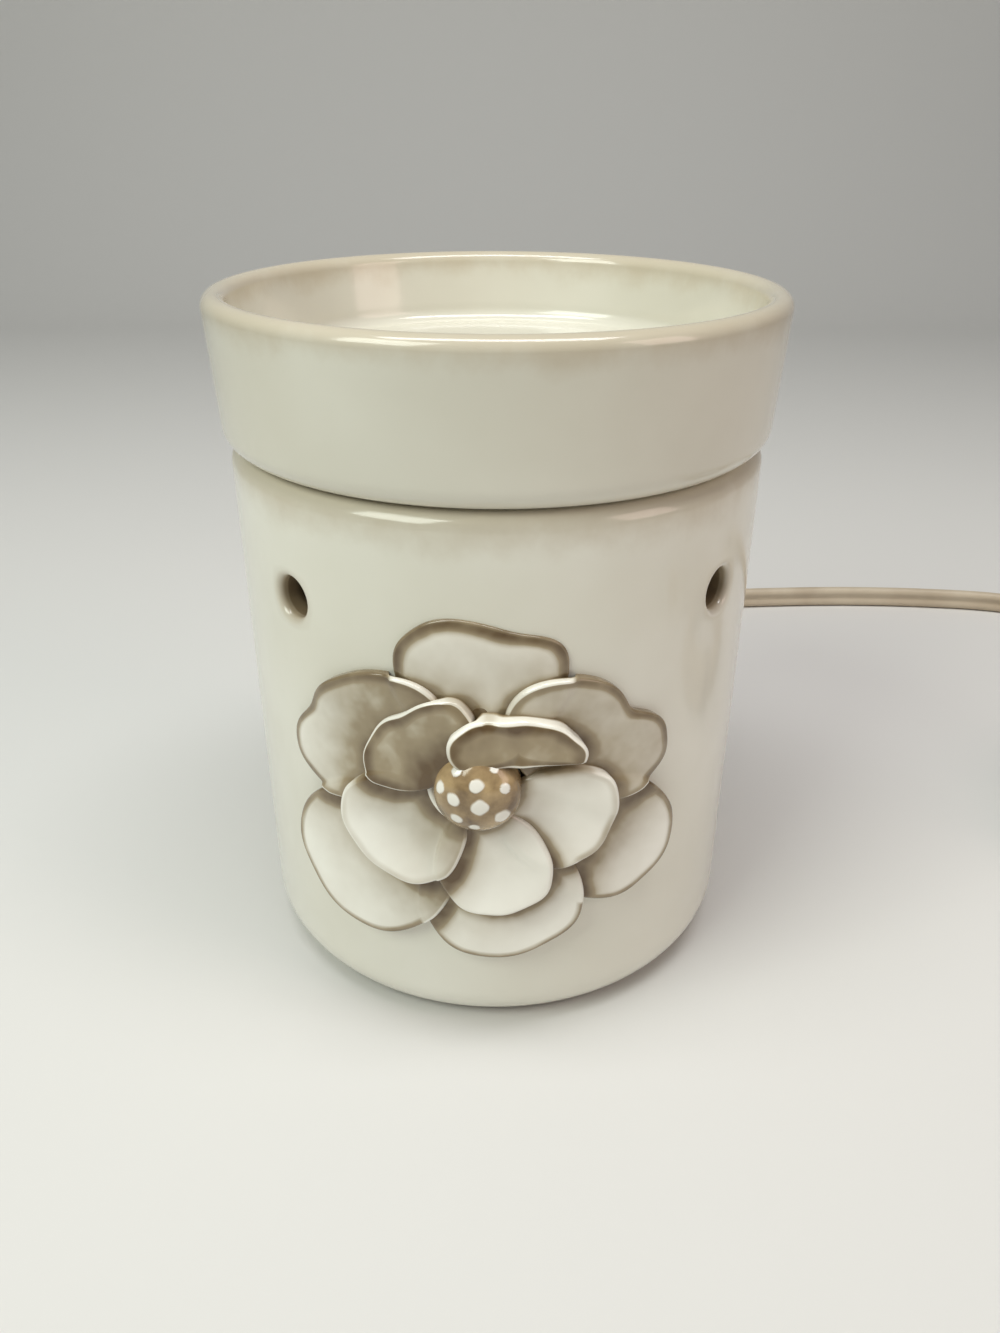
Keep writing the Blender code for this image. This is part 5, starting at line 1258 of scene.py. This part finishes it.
show_turned("lamp_cap", cap_profile, 64, cap_metal, "lamp", "bulb_cap", cap_thread)
show_turned("lamp_insulator", insulator_profile, 48, black_glass, "lamp", "bulb_insulator")
show_turned("lamp_contact", contact_profile, 48, steel, "lamp_carrier", "bulb_contact")

# %% Lamp: globe and stem
GLOBE_RADIUS, GLOBE_Z = 25.0, 72.25
NECK_RADIUS, NECK_LOW, NECK_TOP = 5.0, 31.2, 43.75
GLASS_WALL = 0.8


def globe_profile(shrink, steps=40):
    """A straight neck, a quadratic curve into the globe, and the globe's own arc to its top."""
    neck, radius = NECK_RADIUS - shrink, GLOBE_RADIUS - shrink
    join = math.radians(-60)
    start = np.array([neck, NECK_TOP])
    end = np.array([radius * math.cos(join), GLOBE_Z + radius * math.sin(join)])
    corner = np.array([neck, end[1] - (end[0] - neck) * math.tan(math.radians(30))])
    t = np.linspace(0, 1, 14)[:-1, None]
    bend = (1 - t) ** 2 * start + 2 * t * (1 - t) * corner + t**2 * end
    return np.vstack([[(neck, NECK_LOW)], bend, arc((0.0, GLOBE_Z), radius, -60, 90, steps)])


glass_profile = np.vstack([globe_profile(0.0), globe_profile(GLASS_WALL)[::-1]])
stem_profile = np.vstack([
    [(0.0, 31.5), (3.9, 31.5), (3.9, 32.6), (2.6, 36.0), (2.0, 39.5), (1.8, 50.0)],
    arc((0.0, 53.3), 1.8, 0, 90, 6),
])
show_turned("lamp_globe", glass_profile, 96, lamp_glass, "lamp", "bulb_glass")
show_turned("lamp_stem", stem_profile, 40, lamp_glass, "lamp", "bulb_stem")

# %% Finishes for the small solids that keep their own shape
small_solids = {
    brass: (
        "holder_contact", "terminal_live", "terminal_neutral", "switch_contact_in", "switch_contact_out",
        "plug_blade_wide", "plug_blade_narrow",
    ),
    steel: (
        "terminal_screw_live", "terminal_screw_neutral", "cover_screw_left", "cover_screw_right",
        "switch_screw", "switch_axle",
    ),
    tungsten: ("bulb_filament",),
    dark_moulding: ("base_cover", "lead_live"),
    moulded_cream: ("lead_neutral",),
}
for finish, names in small_solids.items():
    for name in names:
        nodes[name].data.materials.clear()
        nodes[name].data.materials.append(finish)
    print(finish.name, "on", len(names), "small solids")

# %% [markdown]
# ## Floor and light
# A pale sweep of paper carries the warmer and its shadow. Three soft boxes light it as in a small studio: a
# broad one from the upper left, a weaker one from the right, and a long one overhead that draws the bright
# strokes along the lip. The world adds an even pale glow.

# %% Floor
SHEET_REACH, SWEEP_START, SWEEP_RADIUS, SHEET_RISE = 12.0, 0.75, 0.35, 3.0


def floor_grid(rows=40, columns=12):
    """Flat in front, then a quarter round up into a wall: the distance along the sheet gives both y and z."""
    sweep_end = SWEEP_START + SWEEP_RADIUS * math.pi / 2
    sweep = np.linspace(SWEEP_START, sweep_end, rows)
    along = np.concatenate([[-SHEET_REACH, 0.0], sweep, [sweep_end + SHEET_RISE]])[:, None]
    angle = np.clip((along - SWEEP_START) / SWEEP_RADIUS, 0, math.pi / 2)
    across = np.linspace(-SHEET_REACH, SHEET_REACH, columns)[None]
    y = np.minimum(along, SWEEP_START) + SWEEP_RADIUS * np.sin(angle)
    z = SWEEP_RADIUS * (1 - np.cos(angle)) + np.maximum(along - sweep_end, 0)
    return np.stack(np.broadcast_arrays(across, y, z), axis=-1)


paper = start_finish("studio_paper_matt", Base_Color="#d9d8d5", Roughness=0.9)
grid = floor_grid()
floor_mesh = new_mesh("paper_floor", grid, grid_faces(*grid.shape[:2], close_columns=False))
floor_mesh.shade_smooth()
floor_mesh.materials.append(paper)
paper_floor = bpy.data.objects.new("paper_floor", floor_mesh)
bpy.context.scene.collection.objects.link(paper_floor)

# %% Lights
AIM = Vector((0.0, 0.0, 0.08))


def soft_box(name, place, size, power, colour):
    """An area lamp of a real size, turned so that it looks at the warmer."""
    lamp = bpy.data.lights.new(name, "AREA")
    lamp.shape = "RECTANGLE"
    lamp.size, lamp.size_y = size
    lamp.energy = power
    lamp.color = linear(colour)[:3]
    box = bpy.data.objects.new(name, lamp)
    box.location = place
    box.rotation_euler = (AIM - Vector(place)).to_track_quat("-Z", "Y").to_euler()
    bpy.context.scene.collection.objects.link(box)


soft_box("key_box", (-0.55, -0.5, 0.75), (0.5, 0.5), 5.0, "#f8fff4")
soft_box("fill_box", (0.7, -0.35, 0.45), (0.35, 0.5), 1.4, "#ffe2d8")
soft_box("top_box", (0.0, -0.1, 0.9), (0.8, 0.22), 4.8, "#ffffff")
world = bpy.data.worlds.new("studio_glow")
world.use_nodes = True
glow = world.node_tree.nodes["Background"]
glow.inputs["Color"].default_value = linear("#f2f4f5")
glow.inputs["Strength"].default_value = 0.24
bpy.context.scene.world = world
